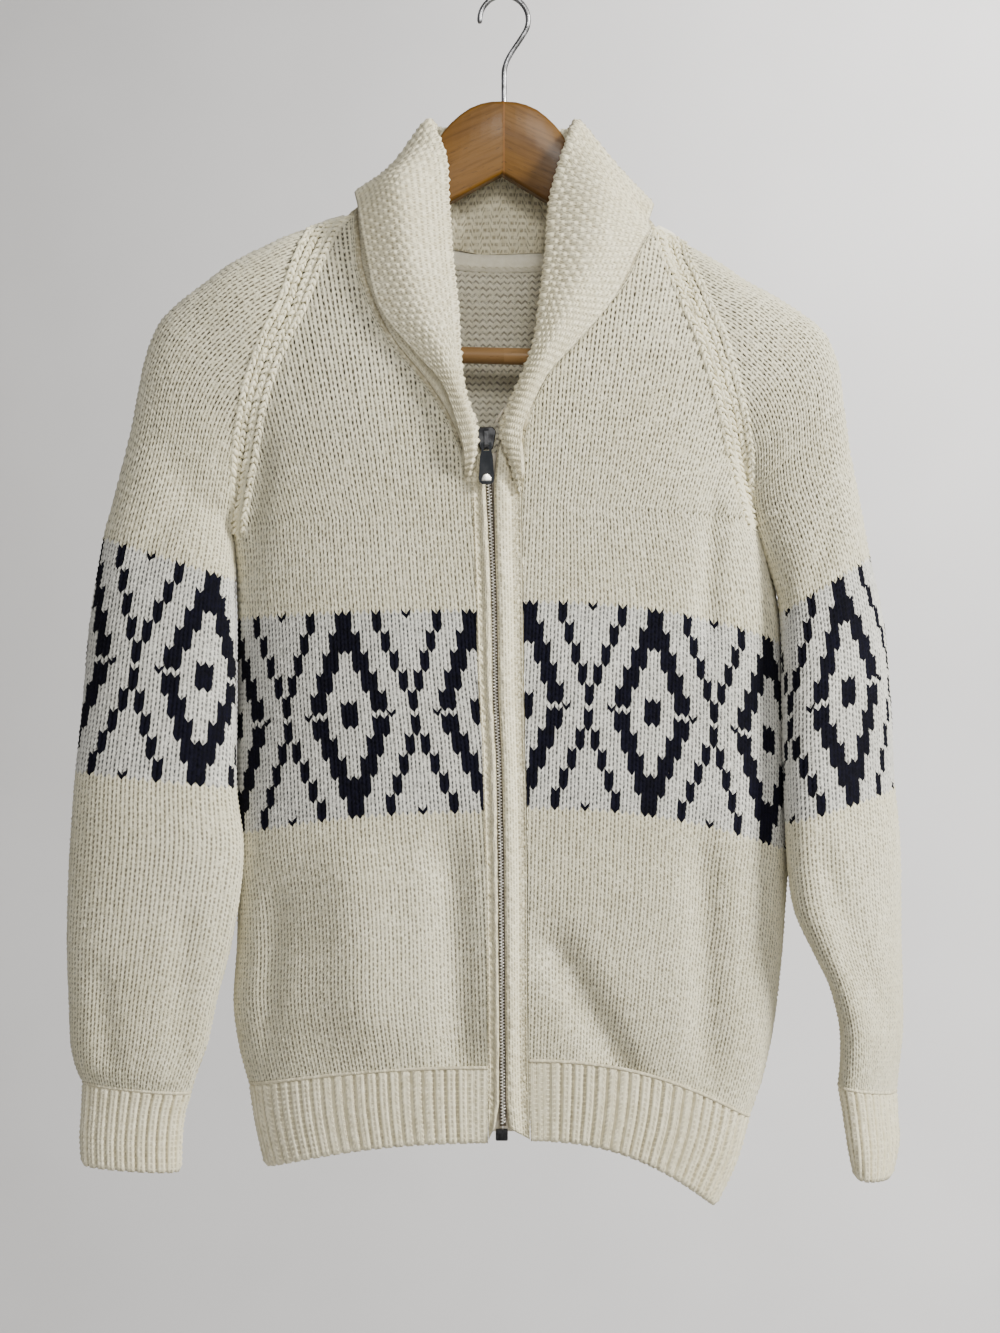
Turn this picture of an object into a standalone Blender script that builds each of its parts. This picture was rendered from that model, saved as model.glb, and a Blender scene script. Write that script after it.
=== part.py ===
"""Fair isle zip cardigan hanging on a wooden hanger.

Origin: inner top of the hook's crook. +Z up, the front of the garment faces -Y, the wearer's right is -X.
Tables are in millimetres and every mesh is written in metres.
"""

import math

import bmesh
import bpy
import numpy as np

for old in list(bpy.data.objects):
    bpy.data.objects.remove(old, do_unlink=True)

MM = 0.001

# Cloth
WALL = 3.0  # thickness of the knitted panels
COLLAR_WALL = 3.6
COLLAR_SEAM_FRONT = 2.4  # from the fronts' neck edge, where the collar turns up, to its first row
COLLAR_SEAM_BACK = 0.6  # the same at the back, where it runs straight on
COLLAR_ROLL = 3.0  # radius of the collar's fold
BAND_WALL = 4.0
SEAM_GAP = 0.2  # each panel stops this far short of a seam
INNER_SETBACK = 0.9  # the wall's inner edge stops this far short of a seam
RAGLAN_RIDGE = 1.5  # height of the raised stitches beside each raglan seam
RIB_HEIGHT = 1.5
RIB_PITCH = 7.3
CUFF_RIB_PITCH = 6.6
COLLAR_RIDGE = 1.1
COLLAR_PITCH = 9.0

# Hanger
HANGER_TILT = math.radians(1.4)  # the wearer's left end hangs lower
TILT_PIVOT = -60.0  # height about which the wood is tilted
BAR_RADIUS = 5.5
HOOK_WIRE = 1.75  # radius of the wire
CROOK_RADIUS = 16.0  # to the middle of the wire
FIT_GAP = 0.3
BAR_Z = -236.0
BAR_END = 188.0  # each end of the bar, from the middle
BAR_HOLE_END = 188.4
SHANK_FOOT = -92.0  # lower end of the hook's straight shank, inside the wood
SHANK_HEIGHTS = (-92.0, -78.0, -66.0, -55.0)
CROOK_START, CROOK_END = -30.0, 188.0  # degrees round the crook

# Zip
CHAIN_WIDTH = 3.2
CHAIN_FRONT, CHAIN_BACK = 0.8, 1.0  # before and behind the zip's line
CHAIN_TOP, CHAIN_BOTTOM = -302.6, -737.5
CHAIN_ROWS = 16
TAPE_NEAR, TAPE_FAR = 0.2, 9.5  # both sides of a tape, from the zip's line
TAPE_BEHIND = 5.6
TAPE_WALL = 0.8
TAPE_TOP, TAPE_BOTTOM = -303.0, -741.0
TAPE_ROWS = 14
SLIDER_X = -11.3
SLIDER_TOP, SLIDER_BOTTOM = -287.5, -302.0
SLIDER_FRONT, SLIDER_BACK = -46.0, -41.4
BAIL_REACH, BAIL_HALF = 4.6, 1.3
BAIL_TOP, BAIL_FOOT = SLIDER_TOP - 1.5, SLIDER_BOTTOM + 2.0
PULL_Y, PULL_Z = SLIDER_FRONT - 1.7, BAIL_FOOT + 1.55  # the pull tab's axis
PULL_HALF_WALL = 0.75  # half of the tab's thickness and of its cross bar
PULL_WINDOW_HALF, PULL_ARM = 1.75, 1.5
PLATE_TOP, PLATE_BOTTOM = -4.6, -25.95  # from the pull tab's axis
BOX_X, BOX_Y = -1.5, -40.0
BOX_HALF_WALL = 2.2
PLATE_BEVEL = 0.08

# Knitting's own measures
HEM_PLAIN = 13.0  # smooth strip of the ribbing beside the zip
BAND_ROWS = 15
COLLAR_STEPS = 241
TORSO_POWER, TORSO_DROOP = 2.6, 2.3  # roundness at the side seam, drop towards the middle
SLEEVE_POWER, CAP_POWER = 2.3, 2.2

# Rows of the panels run from the neck (row 0) to the rib (row 22).
# The armpit is at row 10 and the motif band lies between rows 13 and 16.
ARMPIT = 10
LAST_ROW = 22

# Right front: raglan and side edge x y z, then neck and band edge x y z
FRONT_RIGHT = [
    (-102, 9, -143, -97, 5, -140),
    (-115.5, 0, -149.5, -96.5, -9, -150),
    (-122, -10, -162, -95, -20, -165),
    (-129, -18, -180, -93, -26, -182.5),
    (-139, -23, -209, -84, -31, -208.5),
    (-150.5, -25, -232, -71.5, -35, -231.5),
    (-160, -24, -257, -53.5, -38, -253),
    (-166, -21, -280.5, -38, -40, -275.5),
    (-170.7, -14, -307, -26, -41, -300.5),
    (-175, -6, -331.5, -20.5, -41, -327.5),
    (-178, 2, -350.7, -20, -41, -346),
    (-177, 5, -370.5, -19.3, -41, -366),
    (-176.4, 7, -390, -18.7, -41, -386),
    (-175.8, 8, -410, -18, -41, -405.3),
    (-175.8, 8, -456.5, -17, -42, -448.3),
    (-176.5, 8, -504.3, -14.2, -42, -491.3),
    (-177.5, 8, -551.4, -13, -42, -534.3),
    (-177.5, 8, -576, -12.3, -41, -557.4),
    (-175.8, 8, -601, -11.6, -41, -585.7),
    (-176.4, 7, -630, -11, -40, -616.6),
    (-178.2, 6, -662, -10.4, -40, -648.7),
    (-174.8, 5, -689.6, -10.4, -39, -674.6),
    (-168, 4, -715.2, -10, -38, -699.2),
]

# Left front, in the same order
FRONT_LEFT = [
    (98.3, 9, -149.8, 94.7, 5, -146.6),
    (109, 0, -158.8, 93, -9, -156.5),
    (112.7, -11, -176, 86, -18, -169.3),
    (119.3, -18, -191.5, 78.4, -26, -187.7),
    (126, -22, -208, 64.6, -31, -206.6),
    (135, -25, -229, 47, -35, -228),
    (142.8, -24, -253.6, 28.2, -38, -249),
    (150.4, -20, -280.4, 17, -40, -271),
    (155.4, -13, -305.8, 11.5, -41, -295.5),
    (160.6, -6, -326.2, 11.5, -41, -320),
    (166, 2, -345.4, 11.5, -41, -339),
    (172.8, 5, -365.8, 11.8, -41, -359.7),
    (179.7, 7, -394.8, 12, -41, -379.6),
    (184.5, 8, -426.7, 12.4, -41, -399.5),
    (187, 8, -471.8, 12.8, -42, -443.8),
    (189, 8, -517.6, 13.4, -42, -488),
    (188.5, 8, -562.7, 14.7, -42, -531.7),
    (186.5, 8, -589, 15, -41, -557.4),
    (184.5, 8, -619, 15.3, -41, -585.7),
    (181.7, 7, -647.5, 15.3, -40, -616.6),
    (177.6, 6, -678.5, 15.3, -40, -645.5),
    (171, 5, -709.5, 15.4, -39, -671.4),
    (162, 4, -737, 15.7, -38, -694.7),
]

# Middle of the back: y z
BACK_MIDDLE = [
    (28, -171.7), (30, -180.6), (31, -190.5), (33, -202.4), (35, -219), (36, -236.7),
    (37, -257), (38, -278), (38, -301.4), (38, -324.5), (38, -344.3), (38, -364),
    (38, -384.5), (38, -404.3), (38, -450), (38, -494.7), (38, -539), (38, -562),
    (37, -590), (37, -621.5), (36, -653), (35, -681), (34, -707.3),
]

# Right sleeve: front seam x y z, fold at the top and outside x y z, back seam x y z,
# half depth, and how far the section leans back for each millimetre outward.
# Below the armpit both seams are the one under the arm.
SLEEVE_RIGHT = [
    (-102, 9, -143, -104, 15, -144, -102.4, 22, -146, 0, 0),
    (-115.5, 0, -149.5, -123, 6, -150.4, -116, 23, -157, 0, 0),
    (-122, -10, -162, -137.5, 2, -155, -125.4, 24, -171, 1, 0),
    (-129, -18, -180, -155.8, 0, -163.4, -136, 25, -192, 1, 0),
    (-139, -23, -209, -179.5, 0, -175.3, -147.7, 26, -215, 1, 0),
    (-150.5, -25, -232, -197.3, 0, -188.5, -158.4, 26, -236.5, 2, 0),
    (-160, -24, -257, -213.8, 0, -201, -166.4, 25, -257.4, 4, 0),
    (-166, -21, -280.5, -227, 0, -215, -170.8, 23, -278.4, 8, 0),
    (-171.4, -14, -307, -235.6, 0, -236, -174.8, 17, -305.8, 14, 0),
    (-176.7, -6, -331.5, -241, 0, -261, -178.4, 10, -331, 19, 0),
    (-181, 1, -350.8, -245, 0, -283.5, -181, 1, -350.8, 23, 0),
    (-181, -4, -363, -251.8, -2, -312.7, -181, -4, -363, 24, 0),
    (-180.7, -8, -374.3, -258, -4, -338, -180.7, -8, -374.3, 24, 0),
    (-180.4, -11, -386, -263, -6, -359, -180.4, -11, -386, 23, 0),
    (-180, -13, -431.4, -271, -9, -411.7, -180, -13, -431.4, 22, 0),
    (-179.7, -15, -477, -275.2, -11, -463, -179.7, -15, -477, 22, 0),
    (-178.3, -16, -521.6, -280, -12, -511.3, -178.3, -16, -521.6, 22, 0),
    (-173, -18, -557.4, -283, -12, -551, -173, -18, -557.4, 22, 0),
    (-175, -17, -590, -284.8, -12, -587, -175, -17, -590, 21, 0),
    (-180, -14, -623, -285.5, -12, -623, -180, -14, -623, 21, 0),
    (-188.6, -12, -659, -284.4, -11, -659, -188.6, -12, -659, 20, 0),
    (-194.7, -10, -687, -283.6, -10, -685.8, -194.7, -10, -687, 19, 0),
    (-202, -9, -707.6, -280.8, -9, -701.7, -202, -9, -707.6, 17, 0),
    (-206, -8, -720.3, -276, -8, -713, -206, -8, -720.3, 14, 0),
]

# Left sleeve, in the same order; it hangs turned, so it leans back outward
SLEEVE_LEFT = [
    (98.3, 9, -149.8, 100.7, 15, -150.6, 99.2, 22, -154, 0, 0),
    (109, 0, -158.8, 116, 6, -159.6, 110, 23, -166, 0, 0),
    (112.7, -11, -176, 129.5, 2, -167.7, 118, 24, -184.4, 1, 0),
    (119.3, -18, -191.5, 144, 0, -176.6, 126, 25, -202.4, 1, 0),
    (126, -22, -208, 159.7, 0, -187.2, 134.3, 26, -220.4, 1, 0),
    (135, -25, -229, 179, 0, -197.7, 143, 26, -239.2, 2, 0),
    (142.8, -24, -253.6, 196.7, 0, -209, 149.7, 25, -259.4, 4, 0),
    (150.4, -20, -280.4, 211.2, 0, -221.5, 155.5, 23, -281, 8, 0),
    (156, -13, -305.8, 220.4, 0, -244, 159.6, 17, -304.4, 14, 0),
    (162.2, -6, -326.2, 223.7, 0, -271.6, 163.8, 10, -326.3, 19, 0),
    (169, 1, -345.5, 227.7, 0, -299.4, 169, 1, -345.5, 23, 0),
    (177, -4, -365.6, 232.3, 0, -323, 177, -4, -365.6, 25, 0.1),
    (183.5, -9, -384, 236.3, 0, -344, 183.5, -9, -384, 27, 0.2),
    (187.5, -12, -402.6, 240.2, 0, -364.7, 187.5, -12, -402.6, 28, 0.3),
    (188.5, -16, -446.5, 251, 2, -413.5, 188.5, -16, -446.5, 29, 0.4),
    (189, -19, -492, 255.4, 4, -463, 189, -19, -492, 30, 0.4),
    (189, -21, -535.7, 258.4, 6, -513.5, 189, -21, -535.7, 30, 0.5),
    (190, -24, -574.4, 262.3, 9, -556, 190, -24, -574.4, 29, 0.5),
    (192.5, -26, -599.5, 263.6, 11, -592.8, 192.5, -26, -599.5, 28, 0.6),
    (201, -25, -622.3, 264, 12, -623, 201, -25, -622.3, 27, 0.7),
    (211.8, -23, -648, 264.8, 14, -653, 211.8, -23, -648, 26, 0.8),
    (218.6, -21, -674, 265, 15, -683, 218.6, -21, -674, 25, 0.9),
    (219.4, -20, -696, 262.7, 15, -706, 219.4, -20, -696, 23, 0.95),
    (217.8, -20, -713, 261.3, 15, -723, 217.8, -20, -713, 20, 0.95),
]

# Ribs: side edge x y z, then band edge x y z
HEM_RIGHT = [
    (-167.7, 4, -715.6, -10.2, -38, -699.6),
    (-163.4, 4, -743, -10.4, -38, -723),
    (-157.3, 2, -769, -10.4, -37, -747.7),
]
HEM_LEFT = [
    (161.8, 4, -737.5, 15.9, -38, -695.1),
    (153, 4, -767.5, 16.4, -38, -720.5),
    (139.4, 2, -795.5, 17.3, -37, -746.4),
]
HEM_BACK_MIDDLE = [(34, -707.7), (34, -727), (32, -746)]

# Cuffs: inner side x y z, outer side x y z, half depth, lean
CUFF_RIGHT = [
    (-206, -8, -720.8, -276, -8, -713.5, 13.5, 0),
    (-210, -8, -734, -276.5, -8, -729, 13, 0),
    (-212, -8, -752, -277.7, -8, -748.5, 13, 0),
    (-212.4, -8, -771.5, -276.7, -8, -767, 13.5, 0),
]
CUFF_LEFT = [
    (217.9, -20, -713.6, 261.2, 15, -723.6, 19.5, 0.95),
    (221.5, -19, -732.5, 261.5, 14, -738, 18, 0.9),
    (225, -17, -754, 262, 12, -756, 17.5, 0.85),
    (230, -15, -775.5, 256.5, 10, -777.5, 17, 0.8),
]

# Collar, from the zip up the right front, round the back and down to the zip.
# Each row: seam, middle of the stand, top of the fold, middle of the fall, free edge
COLLAR = [
    ((-28, -40.5, -303), (-24.5, -44.5, -302), (-18.5, -47.5, -300.5),
     (-21.5, -52, -302), (-25.5, -51.5, -303)),
    ((-33, -40.5, -289), (-27.5, -44.5, -288), (-18.8, -48, -287), (-23, -53, -288), (-29, -51.5, -288)),
    ((-46.5, -39, -262), (-37, -44, -263), (-26, -47, -264), (-31.5, -52.5, -263), (-38.5, -50, -261)),
    ((-67, -36, -238), (-47.5, -42, -240), (-29, -45, -239.5), (-41, -51.5, -240.5), (-56, -45, -240)),
    ((-84.5, -31, -209), (-57, -40, -211.5), (-31, -42, -209.5), (-54, -50, -211.5), (-79.5, -40, -210.5)),
    ((-93.5, -24, -175.5), (-64, -36, -176), (-35, -35, -176), (-61.5, -47, -177), (-88.5, -35, -176)),
    ((-96.5, -9, -150.5), (-66, -27, -142), (-37.5, -27, -141.5), (-65.5, -40, -141), (-93.5, -26, -148)),
    ((-97, 4, -141), (-68, -15, -123), (-39.5, -18, -109), (-68.5, -28, -121), (-95, -14, -139)),
    ((-99, 12, -142), (-72, -2, -120.5), (-48, -7, -86), (-72.5, -10, -115), (-97, -6, -132)),
    ((-101, 16, -143), (-69.5, 7, -122), (-47, 3, -83.5), (-74, 6, -111), (-97.5, 12, -127)),
    ((-92.5, 23, -148), (-67, 16, -124), (-44, 11, -85), (-71, 24, -112.5), (-90, 31, -132)),
    ((-48.5, 28, -165), (-44, 23, -131.5), (-20, 20, -85), (-44.5, 33, -102.5), (-53.5, 38, -136)),
    ((0, 29, -166.5), (0, 23, -128), (0, 24, -86), (0, 35, -102), (0, 41, -135.5)),
    ((48.5, 28, -165), (44, 23, -131.5), (20, 20, -85), (44.5, 33, -102.5), (53.5, 38, -136)),
    ((92, 23, -152), (66.5, 16, -126), (44, 11, -86), (71, 24, -115.5), (91, 32, -138)),
    ((100, 16, -151), (69.5, 7, -125), (47, 3, -84.5), (74.5, 6, -113.5), (97.5, 12, -135)),
    ((98.5, 12, -150.5), (70.5, -1, -124), (46, -5, -86), (73.5, -12, -116), (97, -7, -140)),
    ((95.5, 4, -149.5), (66.5, -15, -127.5), (39, -18, -108.5), (66, -29, -126), (93.5, -14, -151)),
    ((93, -9, -157), (63.5, -27, -146.5), (31.5, -27, -138.5), (63, -40, -145), (93.5, -26, -158)),
    ((86, -20, -171), (58, -36, -176), (28.5, -35, -172.5), (57.5, -47, -175.5), (86, -33, -172)),
    ((66, -30, -205), (45.5, -40, -205.5), (24.5, -42, -202.5), (45, -50, -205), (69, -38, -205)),
    ((44.5, -35, -230.5), (33, -41, -230), (20.5, -45, -230.5), (33, -51, -230), (46.5, -43, -231.5)),
    ((25, -38, -253), (21, -42.5, -251.5), (14, -46.5, -250.5), (21.5, -52, -251), (27.5, -47, -253)),
    ((13.5, -40.5, -279), (10.5, -43.5, -277), (2.5, -48, -276.5), (8, -53, -278.5), (14, -51, -281)),
    ((11, -41, -295.5), (8, -43.5, -294), (-1.5, -48, -292.5), (4, -53, -295), (10.5, -51.5, -297)),
]

# Zip side of each band: z x
BAND_RIGHT_INNER = [
    (-304, -13.6), (-325, -12), (-372, -9.4), (-398, -8.4), (-462, -7.4), (-501, -5.2),
    (-565, -3.9), (-629, -3.3), (-694, -2.9), (-722, -2.9), (-742, -6.6),
]
BAND_LEFT_INNER = [
    (-303, -4.6), (-325, -6.6), (-372, -5.6), (-398, -4.6), (-462, -3.6), (-501, -1.4),
    (-565, -0.1), (-629, 0.5), (-694, 0.9), (-722, 1.2), (-742, 3.6),
]
# Across each band, from the front's edge to the zip: share of the width, height
BAND_RIGHT_SECTION = [(0.14, 0), (0.25, -1.2), (0.48, -1.2), (0.64, 0.8), (0.82, 1.4), (1, 0)]
BAND_LEFT_SECTION = [
    (0.045, 0), (0.15, -1.2), (0.38, -1.2), (0.5, 0.9), (0.62, 2.4), (0.8, 3.0), (0.94, 2.0), (1, 0.4),
]
# Each band's top, its lower end at the front's edge and its lower end at the zip
BAND_RIGHT_ENDS = (-305, -747, -738)
BAND_LEFT_ENDS = (-303.5, -746, -738)

# Middle of the zip: x y z
ZIP_LINE = [
    (-11.3, -40, -301), (-10, -40, -321), (-7.5, -40, -372.5), (-6.5, -40, -398), (-5.5, -41, -462),
    (-3.3, -41, -501), (-2, -41, -565), (-1.4, -40, -629.5), (-1, -38, -694), (-0.7, -38, -738),
]

# Right halves of outlines on the zip: x from the middle, drop below the top
SLIDER_HALF_OUTLINE = [(4.2, 0.0), (6.0, 2.5), (5.6, 6.0), (4.2, 13.7), (3.2, 14.5)]
BOX_HALF_OUTLINE = [(3.6, 0.0), (4.0, 0.8), (4.0, 6.8), (3.4, 7.6)]

# Top edge and underside of the hanger's arm: distance from the middle, z
ARM_TOP = [
    (0, -69), (8, -69.4), (15, -71), (22, -74), (28, -78.3), (34, -83.8), (38.5, -89), (45, -99),
    (55, -115), (66, -132), (80, -149), (99, -164), (115, -173), (138, -183), (158, -192),
    (178, -202), (192, -211), (203, -221), (209, -232), (210, -238),
]
ARM_UNDER = [
    (0, -117), (8, -121.5), (15, -125.5), (22, -129.5), (28, -133), (34, -136.3), (38.5, -138.8),
    (45, -143), (55, -150), (66, -158), (80, -170), (99, -186), (115, -198), (138, -212), (158, -228),
    (178, -248), (192, -251.5), (203, -250), (209, -243), (210, -240),
]
# Half of the arm's thickness: distance from the middle, half thickness
ARM_HALF = [(0, 7.0), (100, 7.5), (180, 9.5), (210, 7.5)]

# Soft folds on the fronts: x z of one end, x z of the other, half width, depth (positive sinks in)
FRONT_FOLDS = [
    (-36, -555, -28, -700, 14, 3.5),
    (-100, -560, -88, -680, 26, -3.0),
    (-150, -590, -156, -690, 10, 2.5),
    (30, -618, 80, -710, 13, 3.5),
    (128, -560, 132, -700, 12, 3.0),
    (136, -332, 131, -420, 8, 2.0),
    (-156, -300, -166, -380, 7, 2.0),
]
SLEEVE_FOLDS = [
    (-206, -600, -212, -705, 9, 2.5),
    (-262, -640, -256, -700, 9, 2.5),
    (-205, -330, -236, -372, 9, 2.0),
    (205, -560, 228, -650, 8, 3.0),
    (224, -600, 250, -680, 8, 2.5),
    (196, -395, 214, -345, 8, 2.0),
]


def unit(v):
    """Vectors scaled to length one."""
    return v / np.maximum(np.linalg.norm(v, axis=-1, keepdims=True), 1e-9)


def smooth(table, at):
    """A smooth curve through the table's rows, read at fractional row numbers."""
    table = np.array(table, float)
    flat = table.reshape(len(table), -1)
    slope = np.gradient(flat, axis=0)
    at = np.clip(np.atleast_1d(np.array(at, float)), 0, len(flat) - 1)
    i = np.minimum(at.astype(int), len(flat) - 2)
    t = (at - i)[:, None]
    a, b, da, db = flat[i], flat[i + 1], slope[i], slope[i + 1]
    value = (
        a * (2 * t**3 - 3 * t**2 + 1)
        + da * (t**3 - 2 * t**2 + t)
        + b * (3 * t**2 - 2 * t**3)
        + db * (t**3 - t**2)
    )
    return value.reshape((len(at),) + table.shape[1:])


def spaced(line, shares):
    """Points at these shares of a line's length."""
    step = np.linalg.norm(np.diff(line, axis=0), axis=1)
    length = np.concatenate([[0], np.cumsum(step)])
    where = np.array(shares) * length[-1]
    return np.stack([np.interp(where, length, line[:, k]) for k in range(3)], axis=1)


def line_length(line):
    return float(np.linalg.norm(np.diff(line, axis=0), axis=1).sum())


def shares_with_ridge(inner, both_ends):
    """Shares of a row: three narrow columns beside a raglan seam, then even ones."""
    first, last = [0, 0.03, 0.062, 0.095], [0.905, 0.938, 0.97, 1.0]
    end = 0.905 if both_ends else 1.0
    even = list(np.linspace(0.095, end, inner + 1)[1:-1])
    return np.array(first + even + (last if both_ends else [1.0]))


def fold_depth(x, z, folds):
    """How far the cloth sinks in at x, z."""
    depth = np.zeros_like(x)
    for x0, z0, x1, z1, width, sink in folds:
        dx, dz = x1 - x0, z1 - z0
        reach = dx * dx + dz * dz
        t = ((x - x0) * dx + (z - z0) * dz) / reach
        off = ((x - x0) * dz - (z - z0) * dx) / math.sqrt(reach)
        fade = np.exp(-((np.maximum(0, np.abs(t - 0.5) - 0.35) / 0.22) ** 2))
        depth += sink * np.exp(-((off / width) ** 2)) * fade
    return depth


def round_share(row):
    """0 for the flat rows near the neck, 1 where the section closes below the armpit."""
    return float(np.clip((row - 4.5) / 5.0, 0, 1)) ** 1.3


def torso_line(row, edge, middle):
    """One row of the torso from its side or raglan edge to its middle."""
    t = np.linspace(0, 1, 81)
    angle = t * math.pi / 2
    s = round_share(row)
    across = (1 - s) * t + s * (1 - np.cos(angle) ** (2 / TORSO_POWER))
    depth = (1 - s) * np.sin(angle) + s * np.sin(angle) ** (2 / TORSO_POWER)
    fall = 1 - (1 - across) ** TORSO_DROOP
    return np.stack(
        [
            edge[0] + (middle[0] - edge[0]) * across,
            edge[1] + (middle[1] - edge[1]) * depth,
            edge[2] + (middle[2] - edge[2]) * fall,
        ],
        axis=1,
    )


def sleeve_half(row, seam, fold, half, lean, side):
    """Half of a sleeve row from its seam to the fold; side is -1 for the front and 1 for the back."""
    t = np.linspace(0, 1, 61)
    s = round_share(row)
    c = np.cos(math.pi * t)
    closed = (1 - np.sign(c) * np.abs(c) ** (2 / SLEEVE_POWER)) / 2
    opened = np.sin(math.pi * t / 2) ** (2 / CAP_POWER)
    across = (1 - s) * opened + s * closed
    cap = np.cos(math.pi * t / 2) ** (2 / CAP_POWER)
    base = fold[1] + (seam[1] - fold[1]) * ((1 - s) * cap + s * (1 - across))
    bulge = side * half * np.sin(math.pi * t) ** (2 / SLEEVE_POWER)
    x = seam[0] + (fold[0] - seam[0]) * across
    y = base + bulge
    if lean:
        width = abs(fold[0] - seam[0])
        y = y + lean * width * (across - 0.5) - (fold[1] - seam[1]) * (across - 0.5)
    z = seam[2] + (fold[2] - seam[2]) * across
    return np.stack([x, y, z], axis=1)


def grid_normals(grid, outward):
    """Unit normals of a grid of points, on the side that outward points to."""
    down = np.gradient(grid, axis=0)
    along = np.gradient(grid, axis=1)
    normal = unit(np.cross(down, along))
    if (normal * outward).sum() < 0:
        normal = -normal
    return normal


def new_material(name, colour, metallic, roughness):
    material = bpy.data.materials.get(name) or bpy.data.materials.new(name)
    material.use_nodes = True
    shader = material.node_tree.nodes["Principled BSDF"]
    shader.inputs["Base Color"].default_value = (*colour, 1)
    shader.inputs["Metallic"].default_value = metallic
    shader.inputs["Roughness"].default_value = roughness
    return material


WOOL = new_material("cream_wool", (0.78, 0.74, 0.62), 0, 0.95)
RIBBING = new_material("rib_wool", (0.77, 0.73, 0.61), 0, 0.95)
COLLAR_WOOL = new_material("collar_wool", (0.78, 0.73, 0.60), 0, 0.95)
TAPE = new_material("zip_tape", (0.74, 0.70, 0.60), 0, 0.85)
TEETH = new_material("zip_metal", (0.55, 0.54, 0.52), 1, 0.35)
GUNMETAL = new_material("pull_metal", (0.12, 0.13, 0.14), 1, 0.4)
WOOD = new_material("varnished_wood", (0.52, 0.26, 0.08), 0, 0.35)
STEEL = new_material("hook_steel", (0.32, 0.32, 0.32), 1, 0.3)


def add_object(name, points, faces, material, crease=40.0):
    """A closed mesh from points in millimetres."""
    mesh = bpy.data.meshes.new(name)
    mesh.from_pydata([tuple(p) for p in np.array(points) * MM], [], faces)
    work = bmesh.new()
    work.from_mesh(mesh)
    bmesh.ops.recalc_face_normals(work, faces=work.faces)
    work.to_mesh(mesh)
    work.free()
    mesh.materials.append(material)
    for face in mesh.polygons:
        face.use_smooth = True
    mesh.set_sharp_from_angle(angle=math.radians(crease))
    obj = bpy.data.objects.new(name, mesh)
    bpy.context.scene.collection.objects.link(obj)
    return obj


def edge_in(grid, gaps):
    """The grid with its four edges moved in along the cloth; gaps are top, bottom, first, last."""
    out = grid.copy()
    top, bottom, first, last = gaps

    def step(towards, start, gap):
        way = towards - start
        length = np.linalg.norm(way, axis=-1, keepdims=True)
        return unit(way) * np.minimum(gap, 0.45 * length)

    out[0] += step(grid[1], grid[0], top)
    out[-1] += step(grid[-2], grid[-1], bottom)
    out[:, 0] += step(grid[:, 1], grid[:, 0], first)
    out[:, -1] += step(grid[:, -2], grid[:, -1], last)
    return out


def add_cloth(name, base, normals, material, wall=WALL, relief=None, gaps=(0.2,) * 4,
              setback=INNER_SETBACK, keep=None, loop=False, crease=60.0):
    """A wall of cloth whose outer face is base plus relief.

    keep lists the columns that the plain inner face uses. loop joins the last column to the first.
    """
    rows, columns = base.shape[:2]
    outer = base if relief is None else base + normals * relief[..., None]
    keep = list(range(columns)) if keep is None else list(keep)
    inner = (base - normals * wall)[:, keep]
    gaps = np.array(gaps, float)
    back = np.where(gaps > 0, gaps + setback, 0)
    if loop:
        gaps[2:] = back[2:] = 0
    outer, inner = edge_in(outer, gaps), edge_in(inner, back)
    if loop:
        outer[:, -1], inner[:, -1] = outer[:, 0], inner[:, 0]
        columns -= 1
    inner_columns = len(keep) - 1 if loop else len(keep)
    points = [*outer[:, :columns].reshape(-1, 3), *inner[:, :inner_columns].reshape(-1, 3)]
    start = rows * columns

    def out(i, j):
        return i * columns + (j % columns if loop else j)

    def inn(i, j):
        return start + i * inner_columns + (j % inner_columns if loop else j)

    faces = []
    spans = columns if loop else columns - 1
    inner_spans = inner_columns if loop else inner_columns - 1
    for i in range(rows - 1):
        for j in range(spans):
            faces.append((out(i, j), out(i, j + 1), out(i + 1, j + 1), out(i + 1, j)))
        for j in range(inner_spans):
            faces.append((inn(i, j), inn(i + 1, j), inn(i + 1, j + 1), inn(i, j + 1)))
        if not loop:
            faces.append((out(i, 0), out(i + 1, 0), inn(i + 1, 0), inn(i, 0)))
            last, inner_last = columns - 1, inner_columns - 1
            faces.append((out(i, last), inn(i, inner_last), inn(i + 1, inner_last), out(i + 1, last)))
    for i, turned in ((0, True), (rows - 1, False)):
        for j in range(inner_spans):
            first, last = keep[j], keep[j + 1]
            middle = (first + last) // 2
            rim = [(out(i, k), out(i, k + 1), inn(i, j)) for k in range(first, middle)]
            rim.append((out(i, middle), inn(i, j + 1), inn(i, j)))
            rim += [(out(i, k), out(i, k + 1), inn(i, j + 1)) for k in range(middle, last)]
            faces += [face[::-1] for face in rim] if turned else rim
    return add_object(name, points, faces, material, crease)


def add_tube(name, rings, material, crease=40.0):
    """A solid through closed rings of points, with flat ends."""
    rings = np.array(rings)
    count, sides = rings.shape[:2]
    faces = [
        (i * sides + j, i * sides + (j + 1) % sides, (i + 1) * sides + (j + 1) % sides, (i + 1) * sides + j)
        for i in range(count - 1)
        for j in range(sides)
    ]
    faces.append(tuple(range(sides))[::-1])
    faces.append(tuple((count - 1) * sides + j for j in range(sides)))
    return add_object(name, rings.reshape(-1, 3), faces, material, crease)


def add_plate(name, outline, y_front, y_back, material, bevel=0.0):
    """A flat plate: an outline of x z points given a thickness along Y."""
    outline = np.array(outline, float)
    middle = outline.mean(axis=0)
    small = middle + (outline - middle) * (1 - bevel)
    step = (y_back - y_front) * 0.25 if bevel else 0
    layers = [(outline, y_front), (outline, y_back)]
    if bevel:
        layers = [(small, y_front), (outline, y_front + step), (outline, y_back - step), (small, y_back)]
    rings = [[(x, y, z) for x, z in line] for line, y in layers]
    return add_tube(name, rings, material)


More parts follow.
